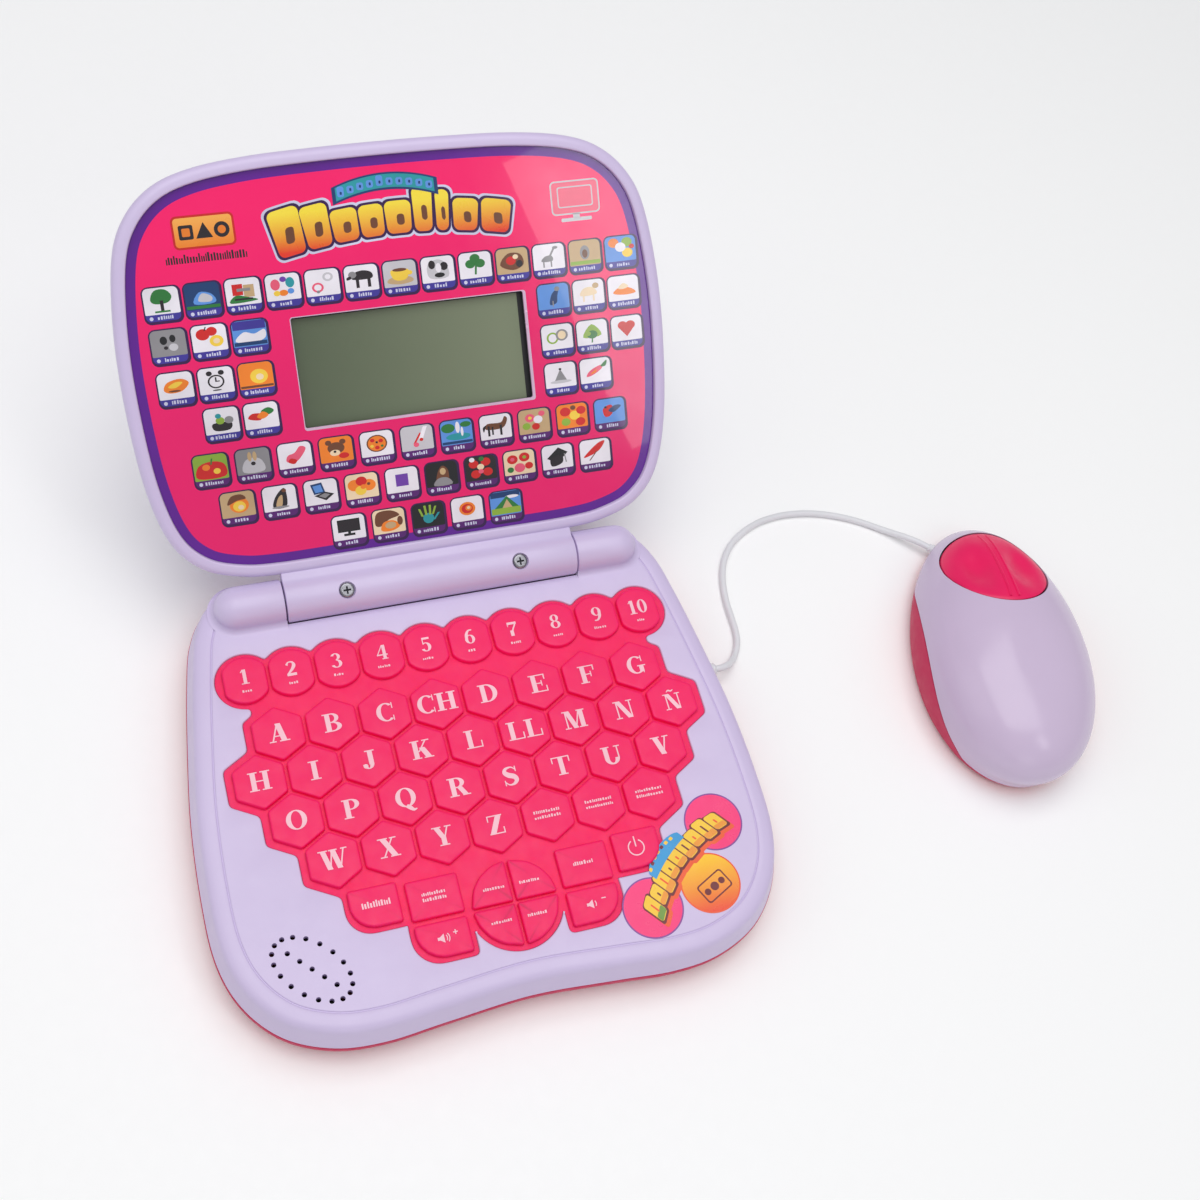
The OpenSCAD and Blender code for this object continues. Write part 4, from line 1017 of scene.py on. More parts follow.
def key_outlines(grow):
    out = [hexagon(*letter_place(row, i), KEY_FLAT + grow) for row, n in enumerate(ROW_LENGTHS) for i in range(n)]
    out += [inset(number_line((i - 4.5) * NUMBER_PITCH, NUMBER_Y), -grow) for i in range(10)]
    for side in (-1, 1):
        out += [tab(MENU_TAB, side, 1, grow), tab(OUTER_TAB, side, 8, grow), tab(VOLUME_TAB, side, 9, grow)]
    return out + [inset(dial_quarter(q), -grow) for q in range(4)]


def make_key_mat():
    """The rubber web round the keys, raised inside the deck's opening."""
    holes = key_outlines(0.03)
    edge = inset(OPENING, 0.12)
    shape = Shape().fill(edge, holes, WEB_Z)
    shape.strip([ring(edge, WEB_Z), ring(edge, 20.6)])
    shape.strip([ring(edge, 20.6), ring(inset(OPENING, 0.2), KEY_BOTTOM_Z)])
    for hole in holes:
        shape.strip([ring(hole, WEB_Z), ring(hole, KEY_BOTTOM_Z)])
    shape.fill(inset(OPENING, 0.2), holes, KEY_BOTTOM_Z)
    shape.make("key_web", [WEB_RUBBER], "base", ["key_mat"], "key_rubber")


make_other_keys()
make_key_mat()

# ---- Sticker on the deck ----

STICKER_PINK = plastic("sticker pink", srgb(255, 40, 120), 0.3, 0.08, bump=0.03)
STICKER_PURPLE = plastic("sticker purple", srgb(128, 60, 150), 0.3, 0.1, bump=0.03)
ORANGE_DISC = gradient("sticker orange", srgb(240, 60, 20), srgb(255, 200, 20), 1, -0.066, -0.046)
GOLD = plastic("print gold", srgb(250, 200, 40), 0.3, 0.08, bump=0.03)
DEEP_RED = plastic("print deep red", srgb(110, 12, 24), 0.35, 0.1, bump=0.03)
RAISE = 0.02


def make_sticker():
    materials = [STICKER_PINK, STICKER_PURPLE, ORANGE_DISC, GOLD, DEEP_RED,
                 plastic("print red orange", srgb(240, 84, 24), 0.3, 0.1, bump=0.03),
                 plastic("print sky blue", srgb(40, 150, 210), 0.3, 0.15, bump=0.03),
                 plastic("print leaf green", srgb(110, 150, 50), 0.3, 0.15, bump=0.03),
                 plastic("print amber", srgb(238, 150, 36), 0.3, 0.15, bump=0.03)]
    shape = Shape()
    z = DECK_Z

    def disc(x, y, r, slot, level):
        shape.solid([circle(x, y, r, n=72)], z, z + 0.05 + level * RAISE, slot)

    def turned(line, at, angle):
        c, s = math.cos(math.radians(angle)), math.sin(math.radians(angle))
        return line @ np.array(((c, s), (-s, c))) + at

    disc(73, -35.5, 10.2, 1, 0)
    disc(73, -35.5, 9.7, 0, 1)
    disc(44, -59.6, 10.4, 1, 0)
    disc(44, -59.6, 9.9, 0, 1)
    disc(65.5, -55.8, 10.4, 5, 2)
    disc(65.5, -55.8, 9.9, 2, 3)
    at, turn = np.array((59, -47.5)), 40

    def banner(x, y):
        """A point of the band's own frame, bent into an arch."""
        bent = np.column_stack((x, y + 3.2 - (x / 22) ** 2 * 4.6))
        return turned(bent, at, turn)

    # a row of toy blocks along an arch, on a dark outline and a red shadow
    for k in range(9):
        x, tall = -19 + k * 4.75, (8.2, 6.2, 8, 6, 6.2, 7.8, 6.2, 8, 6.4)[k]
        for grow, drop, slot, level in ((0.75, 1.7, 5, 4), (0.65, 0.3, 4, 5), (0.1, 0, 3, 6),
            (-1.75, 0, 4 if k % 2 else 5, 7)):
            line = box_line(0, 0, 4.1 + 2 * grow, tall + 2 * grow * (1 if grow > 0 else 1.3),
                0.3 if grow < 0 else 1.0, 3)
            shape.solid([banner(line[:, 0] + x, line[:, 1] - drop)], z, z + 0.05 + (level + 0.1 * k) * RAISE, slot)
        low_half = box_line(0, -tall * 0.33, 4.1, tall * 0.3, 0.5, 3)
        shape.solid([banner(low_half[:, 0] + x, low_half[:, 1])], z, z + 0.05 + (6.95 + 0.005 * k) * RAISE,
            7 if k == 0 else 8)
    # the blue arch over the band
    xs = np.linspace(-10.5, 7.5, 20)
    bulge = 2.5 * np.sqrt(np.clip(1 - ((xs + 1.5) / 9.2) ** 2, 0, 1))
    line = np.vstack((banner(xs, np.full(20, 2.6)), banner(xs[::-1], (4.9 + bulge)[::-1])))
    shape.solid([line], z, z + 0.05 + 10 * RAISE, 6)
    for k in range(7):
        mark = box_line(-9 + k * 2.2, 5.4 + 1.0 * math.sin((k + 0.5) / 7 * math.pi), 1.3, 1.1, 0.3, 3)
        shape.solid([banner(mark[:, 0], mark[:, 1])], z, z + 0.05 + 11 * RAISE, 4 if k % 3 == 1 else 3)
    # a framed plate on the orange disc, with three plain marks
    frame_line = turned(box_line(0, 0, 11, 7.2, 1.1), (66.6, -57.2), 27)
    shape.solid([frame_line], z, z + 0.05 + 5 * RAISE, 4)
    shape.solid([turned(box_line(0, 0, 10, 6.2, 0.8), (66.6, -57.2), 27)], z, z + 0.05 + 6 * RAISE, 2)
    for x in (-3.2, 0, 3.2):
        shape.solid([turned(circle(x, 0, 1.15 if x else 1.5, n=24), (66.6, -57.2), 27)], z, z + 0.05 + 7 * RAISE, 4)
    shape.make("deck_sticker", materials, "base", ["badge_sticker"], "sticker_print")


make_sticker()

# ---- Lid ----

LID_PLACE = (Matrix.Translation((0, HINGE_Y * MM, HINGE_Z * MM)) @ Matrix.Rotation(math.radians(LID_TILT), 4, "X"))
LID_FRONT_EDGE = (
    (RIM_W + 0.25, PANEL_Z - 0.75), (RIM_W + 0.2, 1.35), (RIM_W + 0.1, 1.7), (RIM_W - 0.15, 1.93),
        (RIM_W - 0.5, RIM_Z),
    (2.4, RIM_Z), (1.75, 1.88), (1.1, 1.55), (0.6, 1.1), (0.22, 0.45), (0.03, -0.3), (0, -1.0), (0, -2.75),
    (0.12, -2.93), (0.3, LID_SEAM_Z), (2.2, LID_SEAM_Z),
)
LID_BACK_EDGE = (
    (2.2, LID_SEAM_Z), (1.1, LID_SEAM_Z), (0.93, -3.1), (1.1, -3.6), (1.6, -4.4), (2.3, -5.3), (3.4, -6.4),
        (4.9, -7.35),
    (6.6, -8.1), (8.5, -8.6), (10.4, -8.88), (12, LID_BACK_Z),
)


def make_lid_shells():
    shape = Shape().sweep(LID_LINE, LID_FRONT_EDGE)
    window = box_line(*LCD_AT, WINDOW[0] + 1, WINDOW[1] + 1, 1)
    shape.fill(inset(LID_LINE, RIM_W + 0.25), [window], PANEL_Z - 0.75)
    shape.strip([ring(window, PANEL_Z - 0.75), ring(window, -4.4)])
    shape.fill(inset(LID_LINE, 2.2), [window], LID_SEAM_Z)
    shape.make("lid_front_shell_skin", [LAVENDER], "lid", ["lid_front_shell"], "lavender_plastic", LID_PLACE)
    shape = Shape().sweep(LID_LINE, LID_BACK_EDGE)
    shape.fill(inset(LID_LINE, 12), [], LID_BACK_Z)
    shape.make("lid_back_shell_skin", [LAVENDER], "lid", ["lid_back_shell"], "lavender_plastic", LID_PLACE)
    # the hinge barrel with its neck to the rim: one section drawn from end to end, with eased ends
    outer = [BARREL_R * np.array((math.cos(t), math.sin(t))) for t in np.radians(np.linspace(42, 325, 60))]
    neck = [(10.4, -2.9), (10.4, -2.0), (10.4, 0.2), (10.25, 0.85), (9.8, 1.35), (9.0, 1.75), (8.2, 2.1),
        (7.5, 2.5), (7.0, 3.05), (6.5, 4.0)]
    section = np.array(outer + neck)
    rings = []
    for x, shrink in ((-BARREL_HALF, 0.45), (-BARREL_HALF + 0.15, 0.12), (-BARREL_HALF + 0.45, 0),
                      (BARREL_HALF - 0.45, 0), (BARREL_HALF - 0.15, 0.12), (BARREL_HALF, 0.45)):
        line = inset(section, shrink) if shrink else section
        rings.append(np.column_stack((np.full(len(line), x), line)))
    barrel = Shape().strip(rings)
    for end in (rings[0], rings[-1]):
        barrel.fan(end, (end[0][0], 3, 0))
    obj = barrel.make("hinge_barrel", [LAVENDER], "lid", slot="lavender_plastic", place=LID_PLACE)
    for x in (-31, 31):
        well = Shape()
        a = circle(0, 0, 3.0, n=32)
        place = LID_PLACE @ Matrix.Translation((x * MM, 0, 0)) @ Matrix.Rotation(math.radians(74 - 90), 4, "X")
        well.strip([ring(a, BARREL_R - 1.3), ring(a, BARREL_R + 2)])
        well.fan(ring(a, BARREL_R - 1.3)).fan(ring(a, BARREL_R + 2))
        cut(obj, well, place)
        make_hinge_screw(x, place)


def make_hinge_screw(x, place):
    """A pan head with a cross recess."""
    shape = Shape()
    top = BARREL_R - 0.15
    head = [ring(circle(0, 0, q, n=40), top - d) for q,
        d in ((2.6, 1.1), (2.6, 0.5), (2.5, 0.27), (2.25, 0.1), (1.9, 0.02))]
    shape.strip(head).fan(head[0])
    arms = [box_line(0, 0, 2.7, 0.62, 0.12, 2), box_line(0, 0, 0.62, 2.7, 0.12, 2)]
    cross = union(arms)[2][0]
    shape.fill(circle(0, 0, 1.9, n=40), [cross], top)
    # the recess walls and floor take the darker steel as painted shade
    shape.strip([ring(cross, top), ring(cross * 0.8, top - 0.7)], 1)
    shape.fan(ring(cross * 0.8, top - 0.7), (0, 0, top - 0.9), 1)
    shape.make("hinge_screw_left" if x < 0 else "hinge_screw_right", [STEEL, PAINTED_SHADE_STEEL], "lid",
               ["hinge_screws"] if x < 0 else (), "steel", place)


make_lid_shells()

# ---- Printed panel ----

PRINT_COLOURS = {
    "white": (236, 232, 240), "line": (52, 16, 74), "blue": (62, 52, 150), "violet": (86, 28, 110),
    "pale": (206, 206, 232),
    "black": (28, 28, 32), "dark": (40, 34, 40), "grey": (140, 138, 142), "silver": (196, 194, 200),
    "red": (206, 34, 34),
    "orange": (240, 130, 40), "yellow": (244, 204, 70), "green": (44, 120, 56), "lime": (140, 176, 60),
    "sky": (92, 146, 220),
    "night": (24, 60, 110), "brown": (110, 66, 44), "tan": (196, 166, 124), "pink": (232, 90, 120),
    "teal": (40, 150, 160),
    "cream": (238, 214, 178), "mauve": (112, 62, 168),
}
COLOUR_KEYS = list(PRINT_COLOURS)
PRINTS = [plastic(f"print {k}", srgb(*v), 0.16, 0.14, grain=1400, bump=0.02, Coat_Weight=0.6, Coat_Roughness=0.03)
          for k, v in PRINT_COLOURS.items()]
ICON_W, ICON_H = 12.6, 12.1
ICON_ROWS = (
    (13, -76.6, 13.06, 104.5), (3, -76.5, 13.1, 90.9), (3, 54.3, 12.85, 90.9), (3, -76.5, 13.1, 76.9),
        (3, 54.3, 12.85, 76.9),
    (2, -63.6, 13.1, 63.5), (2, 54.2, 12.9, 63.5), (11, -69.5, 14.06, 48.6), (10, -62.6, 14.1, 34.8),
        (5, -26.6, 14.05, 21.1),
)


def spot(x, y, rx, ry=None):
    return circle(x, y, rx, ry or rx, n=20)


def shape_of(*points):
    """A soft closed blob through the points."""
    return smooth_line(points, 4, closed=True)


# Each picture: its background, then coloured outlines, on a field 1 high and 1.1 wide either side of the middle
PICTURES = (
    ("white", ("green", shape_of((-0.7, 0.1), (-0.4, 0.8), (0.3, 0.85), (0.7, 0.3), (0.4, -0.2),
        (-0.4, -0.25))), ("dark", bar(-0.1, -0.9, 0.22, 0.9)), ("green", bar(-0.5, -0.95, 1, 0.14))),
    ("night", ("sky", shape_of((-0.6, -0.6), (-0.2, 0.3), (0.6, 0.1), (0.8, -0.6))),
        ("silver", shape_of((-0.3, -0.4), (0, 0.2), (0.6, -0.1), (0.5, -0.5))),
        ("green", bar(-1.1, -1, 2.2, 0.25))),
    ("white", ("red", bar(-0.7, -0.3, 0.7, 0.9)), ("tan", bar(0.05, -0.5, 0.7, 1)),
        ("green", shape_of((-0.9, -0.9), (-0.5, -0.3), (0.3, -0.5), (0.9, -0.8))),
        ("grey", bar(-0.4, 0.0, 0.9, 0.24)), ("dark", bar(-0.6, -0.7, 1.2, 0.14))),
    ("white", ("pink", spot(-0.5, 0.2, 0.32, 0.45)), ("teal", spot(0.5, 0.3, 0.3, 0.42)),
        ("orange", spot(0.0, -0.5, 0.3, 0.25)), ("yellow", spot(-0.45, -0.5, 0.22)),
        ("mauve", spot(0.05, 0.6, 0.22)), ("sky", spot(0.5, -0.4, 0.22))),
    ("white", ("silver", spot(0.4, 0.4, 0.36)), ("white", spot(0.4, 0.4, 0.2)),
        ("pink", spot(-0.35, -0.4, 0.4)), ("white", spot(-0.35, -0.4, 0.25)), ("grey", spot(-0.35, -0.75, 0.12))),
    ("white", ("dark", shape_of((-0.6, -0.1), (-0.5, 0.4), (0.1, 0.6), (0.7, 0.4), (0.7, -0.1))),
        ("dark", bar(-0.4, -0.8, 0.22, 0.9)), ("dark", bar(0.4, -0.8, 0.22, 0.9)),
        ("grey", spot(-0.6, 0.3, 0.28)), ("dark", shape_of((-0.75, 0.2), (-1.0, 0.1), (-1.0, -0.1), (-0.7, 0.0)))),
    ("silver", ("tan", shape_of((-0.9, -0.7), (-0.6, -0.3), (0.6, -0.3), (0.9, -0.7), (0, -0.9))),
        ("yellow", shape_of((-0.6, 0.3), (-0.4, -0.5), (0.4, -0.5), (0.6, 0.3))),
        ("brown", spot(0, 0.3, 0.5, 0.14)), ("yellow", spot(0.7, 0.0, 0.18))),
    ("white", ("silver", shape_of((-0.6, -0.7), (-0.7, 0.4), (0, 0.8), (0.6, 0.4), (0.7, -0.7))),
        ("dark", spot(-0.4, 0.4, 0.24, 0.36)), ("dark", spot(0.45, 0.2, 0.28, 0.34)),
        ("black", spot(0.1, -0.5, 0.36, 0.2)), ("white", spot(0.05, 0.1, 0.2, 0.4))),
    ("white", ("green", spot(-0.35, 0.1, 0.36)), ("green", spot(0.35, 0.1, 0.36)),
        ("green", spot(0, 0.55, 0.36)), ("green", slant(-0.1, 0.0, 0.14, -0.8, 0.2))),
    ("tan", ("brown", shape_of((-0.9, -0.3), (-0.3, 0.6), (0.6, 0.5), (0.8, -0.4), (0, -0.8))),
        ("red", spot(-0.1, 0.0, 0.36)), ("cream", spot(0.25, 0.3, 0.2)), ("dark", spot(0.5, -0.3, 0.24, 0.3))),
    ("white", ("grey", slant(-0.2, 0.35, 0.16, -0.4, 0.7)),
        ("grey", shape_of((-0.55, -0.4), (-0.3, 0), (0.2, 0.05), (0.25, -0.4))),
        ("grey", bar(-0.45, -0.9, 0.1, 0.6)), ("grey", bar(0.1, -0.9, 0.1, 0.6)),
        ("grey", spot(0.5, 0.7, 0.2, 0.12))),
    ("tan", ("grey", spot(0, 0, 0.36, 0.6)), ("brown", spot(0, -0.1, 0.2, 0.36)),
        ("lime", bar(-1.1, -1, 2.2, 0.3))),
    ("sky", ("orange", spot(-0.5, 0.5, 0.4)), ("lime", spot(0.5, 0.5, 0.4)), ("yellow", spot(0.5, -0.4, 0.4)),
        ("white", spot(0, 0.1, 0.4)), ("red", spot(0.85, 0.1, 0.2))),
    ("grey", ("black", spot(-0.3, 0.2, 0.24, 0.34)), ("black", spot(0.3, 0.3, 0.2, 0.3)),
        ("silver", spot(0.3, -0.4, 0.3)), ("dark", spot(-0.2, -0.4, 0.14))),
    ("white", ("red", spot(-0.4, 0.3, 0.46)), ("red", spot(0.2, 0.5, 0.36)), ("yellow", spot(0.45, -0.3, 0.46)),
        ("dark", slant(-0.3, -0.2, 0.08, 0.6, 0.9)), ("cream", spot(0.45, -0.3, 0.22))),
    ("sky", ("blue", bar(-1.1, 0.3, 2.2, 0.7)),
        ("white", shape_of((-1.0, -0.6), (-0.4, 0.1), (0.3, -0.1), (1.0, 0.2), (1.0, -0.5), (0.2, -0.8))),
        ("night", bar(-1.1, -1, 2.2, 0.3))),
    ("sky", ("night", shape_of((-0.3, -0.7), (-0.1, 0.2), (0.4, 0.6), (0.3, 0), (0.2, -0.6))),
        ("grey", spot(0.3, 0.6, 0.2)), ("grey", bar(-0.1, -0.9, 0.08, 0.5))),
    ("white", ("cream", shape_of((-0.6, -0.3), (-0.4, 0.3), (0.3, 0.4), (0.6, -0.2))),
        ("tan", spot(0.55, 0.5, 0.24)), ("cream", bar(-0.45, -0.8, 0.12, 0.6)),
        ("cream", bar(0.3, -0.8, 0.12, 0.6))),
    ("white", ("orange", shape_of((-0.8, -0.4), (-0.2, 0.1), (0.6, -0.1), (0.9, -0.5), (0, -0.6))),
        ("cream", shape_of((-0.4, 0.0), (0, 0.4), (0.4, 0.1), (0, -0.1)))),
    ("white", ("orange", shape_of((-0.8, -0.3), (-0.5, 0.3), (0.4, 0.5), (0.9, 0.1), (0.4, -0.5),
        (-0.4, -0.6))), ("yellow", shape_of((-0.5, -0.1), (0, 0.25), (0.5, 0.2), (0, -0.2))),
        ("brown", spot(-0.1, -0.45, 0.4, 0.08))),
    ("white", ("dark", spot(0, -0.1, 0.56)), ("white", spot(0, -0.1, 0.44)), ("dark", spot(-0.4, 0.6, 0.2)),
        ("dark", spot(0.4, 0.6, 0.2)), ("dark", bar(-0.05, -0.1, 0.1, 0.36)),
        ("dark", bar(-0.05, -0.12, 0.3, 0.08)), ("dark", spot(0, -0.8, 0.3, 0.05))),
    ("orange", ("yellow", spot(0.2, -0.1, 0.6)), ("cream", spot(0.25, -0.15, 0.26)),
        ("brown", bar(-1.1, -1, 2.2, 0.18))),
    ("white", ("lime", spot(-0.35, -0.1, 0.44, 0.5)), ("white", spot(-0.35, -0.1, 0.3, 0.36)),
        ("grey", spot(0.35, 0.1, 0.46, 0.5)), ("cream", spot(0.35, 0.1, 0.3, 0.36))),
    ("white", ("lime", shape_of((-0.7, -0.4), (0, 0.7), (0.7, -0.3))), ("green", spot(0, -0.2, 0.4, 0.36)),
        ("lime", spot(-0.3, -0.1, 0.2)), ("green", slant(-0.1, 0, 0.1, -0.9, 0))),
    ("white", ("red", spot(-0.3, 0.25, 0.36)), ("red", spot(0.3, 0.25, 0.36)),
        ("red", np.array(((-0.6, 0.08), (0, -0.75), (0.6, 0.08), (0, 0.5))))),
    ("white", ("dark", shape_of((-0.6, -0.2), (-0.5, -0.8), (0.5, -0.8), (0.6, -0.2))),
        ("lime", spot(-0.1, 0.0, 0.3)), ("grey", spot(0.5, 0.0, 0.3)), ("teal", spot(-0.2, 0.4, 0.2))),
    ("white", ("red", shape_of((-0.9, -0.2), (-0.6, 0.2), (0.1, 0.1), (-0.1, -0.4))),
        ("green", shape_of((0, 0.3), (0.5, 0.6), (0.9, 0.3), (0.5, 0))),
        ("orange", shape_of((-0.3, -0.1), (0.1, 0.3), (0.5, 0), (0.1, -0.3)))),
    ("white", ("grey", np.array(((-0.5, -0.6), (0.5, -0.6), (0, 0.5)))), ("silver", spot(0, -0.6, 0.8, 0.14)),
        ("dark", spot(0, 0.5, 0.1))),
    ("white", ("pink", shape_of((-0.7, -0.5), (-0.4, 0), (0.4, 0.4), (0.5, 0.1), (-0.2, -0.4))),
        ("green", shape_of((0.4, 0.3), (0.9, 0.8), (0.8, 0.3))),
        ("orange", shape_of((-0.4, -0.3), (0.1, 0.1), (0, -0.2)))),
    ("lime", ("red", shape_of((-0.9, -0.9), (-0.9, 0), (-0.3, 0.4), (0.5, 0.4), (1.0, 0), (0.9, -0.9))),
        ("orange", spot(-0.3, 0.0, 0.26)), ("green", slant(0, 0.1, 0.1, 0.2, 0.7)),
        ("yellow", spot(0.4, -0.4, 0.24))),
    ("grey", ("silver", shape_of((-0.7, -0.9), (-0.6, 0), (0, 0.3), (0.6, 0), (0.7, -0.9))),
        ("tan", spot(-0.2, 0.4, 0.14, 0.4)), ("tan", spot(0.15, 0.4, 0.14, 0.4)), ("dark", spot(0, -0.2, 0.16))),
    ("white", ("pink", shape_of((-0.6, -0.5), (-0.5, 0), (0, 0.2), (0.4, 0.7), (0.8, 0.5), (0.5, -0.1),
        (0, -0.6))), ("red", shape_of((-0.5, -0.55), (-0.3, -0.25), (0.1, -0.45), (-0.1, -0.75)))),
    ("orange", ("brown", spot(0, 0.1, 0.6, 0.5)), ("cream", spot(-0.1, -0.3, 0.36, 0.26)),
        ("brown", spot(-0.5, 0.6, 0.22)), ("brown", spot(0.5, 0.6, 0.22)), ("red", spot(0.5, -0.6, 0.36, 0.24)),
        ("black", spot(-0.1, -0.2, 0.1))),
    ("white", ("brown", spot(0, 0, 0.74)), ("orange", spot(0, 0, 0.64)), ("red", spot(-0.3, 0.3, 0.16)),
        ("red", spot(0.3, 0.2, 0.16)), ("red", spot(0, -0.36, 0.16)), ("yellow", spot(-0.36, -0.2, 0.13)),
        ("green", spot(0.36, -0.25, 0.1)), ("dark", spot(0, 0.1, 0.09))),
    ("silver", ("red", slant(-0.3, 0.2, 0.16, -0.5, 0.4)), ("white", slant(0.1, 0.5, 0.3, -0.2, 0.9)),
        ("pink", spot(-0.1, -0.6, 0.2)), ("red", spot(0.3, -0.2, 0.14))),
    ("sky", ("green", spot(-0.6, 0.4, 0.5, 0.4)), ("white", spot(0.1, 0.4, 0.16, 0.5)),
        ("teal", spot(0.1, -0.4, 0.9, 0.3)), ("green", spot(0.7, 0.6, 0.4, 0.24)),
        ("white", spot(0.4, 0.0, 0.1, 0.4)), ("night", bar(-1.1, -1, 2.2, 0.22))),
    ("white", ("brown", shape_of((-0.7, -0.2), (-0.6, 0.3), (0.4, 0.3), (0.7, 0.8), (0.9, 0.5), (0.5, -0.2))),
        ("dark", bar(-0.6, -0.8, 0.16, 0.9)), ("dark", bar(0.3, -0.8, 0.16, 0.9)),
        ("dark", shape_of((-0.7, 0.2), (-0.95, 0), (-0.9, -0.4), (-0.75, 0))),
        ("dark", bar(-0.3, -0.7, 0.12, 0.7))),
    ("tan", ("pink", spot(-0.3, 0.3, 0.36)), ("white", spot(0.3, 0.1, 0.34)), ("red", spot(0.1, -0.5, 0.3)),
        ("lime", spot(-0.6, -0.4, 0.3)), ("yellow", spot(-0.3, 0.3, 0.14)), ("pink", spot(0.6, 0.6, 0.24))),
    ("orange", ("red", spot(-0.5, 0.4, 0.4)), ("yellow", spot(0.2, 0.0, 0.4)), ("red", spot(0.7, 0.4, 0.36)),
        ("lime", spot(-0.5, -0.5, 0.34)), ("red", spot(0.6, -0.6, 0.36)), ("brown", spot(0.1, 0.7, 0.2))),
    ("sky", ("red", shape_of((-0.4, -0.5), (-0.5, 0.2), (0.1, 0.5), (0.3, 0), (0, -0.5))),
        ("night", shape_of((-0.1, 0), (0.4, 0.4), (0.9, 0.3), (0.3, -0.2))), ("black", spot(-0.3, 0.3, 0.1))),
    ("tan", ("orange", spot(0.1, -0.1, 0.66)), ("yellow", spot(0.1, -0.2, 0.44)),
        ("brown", shape_of((-0.7, 0), (-0.4, 0.7), (0.3, 0.8), (0.6, 0.4), (0, 0.3))),
        ("cream", spot(0.2, -0.3, 0.2))),
    ("white", ("dark", shape_of((-0.5, -0.8), (-0.3, 0.1), (0.3, 0.8), (0.5, 0.4), (0.4, -0.8))),
        ("tan", shape_of((-0.3, -0.7), (-0.1, 0), (0.2, 0.2), (0.1, -0.7))), ("brown", spot(0.35, 0.6, 0.16)),
        ("grey", spot(0, -0.8, 0.6, 0.1))),
    ("white", ("night", np.array(((-0.7, 0.7), (-0.5, -0.2), (0.3, -0.1), (0.1, 0.8)))),
        ("sky", np.array(((-0.55, 0.55), (-0.4, -0.05), (0.15, 0.0), (0.02, 0.62)))),
        ("dark", np.array(((-0.5, -0.3), (0.3, -0.8), (0.9, -0.3), (0.3, -0.05)))),
        ("grey", np.array(((-0.2, -0.35), (0.25, -0.6), (0.6, -0.32), (0.25, -0.16))))),
    ("cream", ("orange", spot(-0.5, 0.1, 0.5)), ("orange", spot(0.5, 0.0, 0.5)), ("red", spot(0, 0.4, 0.4)),
        ("yellow", spot(-0.1, -0.4, 0.4)), ("brown", spot(0.5, 0.1, 0.12)), ("orange", spot(0.1, -0.1, 0.2))),
    ("white", ("mauve", bar(-0.45, -0.55, 0.9, 1.05))),
    ("black", ("brown", shape_of((-0.4, -0.9), (-0.3, 0.1), (0.1, 0.7), (0.5, 0.2), (0.4, -0.9))),
        ("tan", spot(0.1, 0.2, 0.22, 0.3)), ("grey", shape_of((-0.6, -1), (-0.3, -0.4), (0.4, -0.4), (0.7, -1)))),
    ("dark", ("red", spot(-0.5, 0.4, 0.36)), ("red", spot(0.4, 0.5, 0.36)), ("cream", spot(0.0, 0.1, 0.26)),
        ("red", spot(-0.4, -0.5, 0.36)), ("red", spot(0.5, -0.4, 0.36)), ("green", spot(0.1, 0.8, 0.2)),
        ("white", spot(-0.6, 0.8, 0.2)), ("pink", spot(0, -0.3, 0.2))),
    ("cream", ("red", spot(-0.5, 0.3, 0.4)), ("pink", spot(-0.5, 0.3, 0.16)), ("red", spot(0.4, 0.4, 0.4)),
        ("lime", spot(0.4, 0.4, 0.14)), ("pink", spot(0, -0.5, 0.4)), ("red", spot(0.7, -0.4, 0.3)),
        ("green", spot(-0.7, -0.6, 0.24))),
    ("white", ("black", np.array(((-0.8, -0.1), (0, -0.6), (0.8, 0.3), (0.1, 0.8)))),
        ("dark", shape_of((-0.5, -0.8), (-0.5, -0.1), (0.3, 0.1), (0.4, -0.5), (0, -0.8))),
        ("grey", slant(0.6, 0.5, 0.08, -0.6, 0.2))),
    ("white", ("red", shape_of((-0.9, -0.5), (-0.4, 0.1), (0.3, 0.7), (0.8, 0.8), (0.4, 0.1), (-0.2, -0.3))),
        ("brown", slant(-0.5, 0.1, 0.1, -0.8, 0))),
    ("white", ("black", bar(-0.8, -0.4, 1.6, 1.1)), ("dark", bar(-0.68, -0.28, 1.36, 0.86)),
        ("black", bar(-0.4, -0.75, 0.8, 0.2)), ("black", bar(-0.1, -0.6, 0.2, 0.3))),
    ("cream", ("brown", shape_of((-1.0, -0.2), (-0.8, 0.8), (0.2, 0.9), (0.8, 0.4), (0, 0.1), (-0.6, -0.4))),
        ("orange", shape_of((-0.6, -0.8), (-0.4, -0.1), (0.3, 0.0), (0.8, -0.5), (0.2, -0.9))),
        ("brown", spot(0.8, -0.1, 0.2, 0.4)), ("tan", spot(0.1, -0.4, 0.4, 0.3))),
    ("black", ("teal", spot(0, -0.3, 0.4, 0.46)), ("lime", slant(-0.5, -0.7, 0.16, -0.1, 0.6)),
        ("lime", slant(-0.22, -0.3, 0.16, 0, 0.85)), ("lime", slant(0.06, 0.1, 0.16, 0, 0.85)),
        ("lime", slant(0.26, 0.5, 0.15, 0, 0.7)), ("teal", slant(0.3, 0.7, 0.16, -0.5, 0.1))),
    ("white", ("orange", spot(0, 0, 0.6)), ("red", spot(0, 0, 0.42)), ("orange", spot(0.1, 0.05, 0.24)),
        ("cream", spot(0.1, 0.08, 0.12))),
    ("sky", ("night", bar(-1.1, 0.5, 2.2, 0.5)), ("white", spot(0.5, 0.5, 0.5, 0.14)),
        ("green", np.array(((-0.9, -0.5), (0.1, 0.6), (1.0, -0.5)))),
        ("tan", np.array(((-0.3, -0.5), (0.1, 0.3), (0.5, -0.5)))), ("lime", bar(-1.1, -1, 2.2, 0.55))),
)


INK_STEP = 0.012
INK_SUNK = 0.05


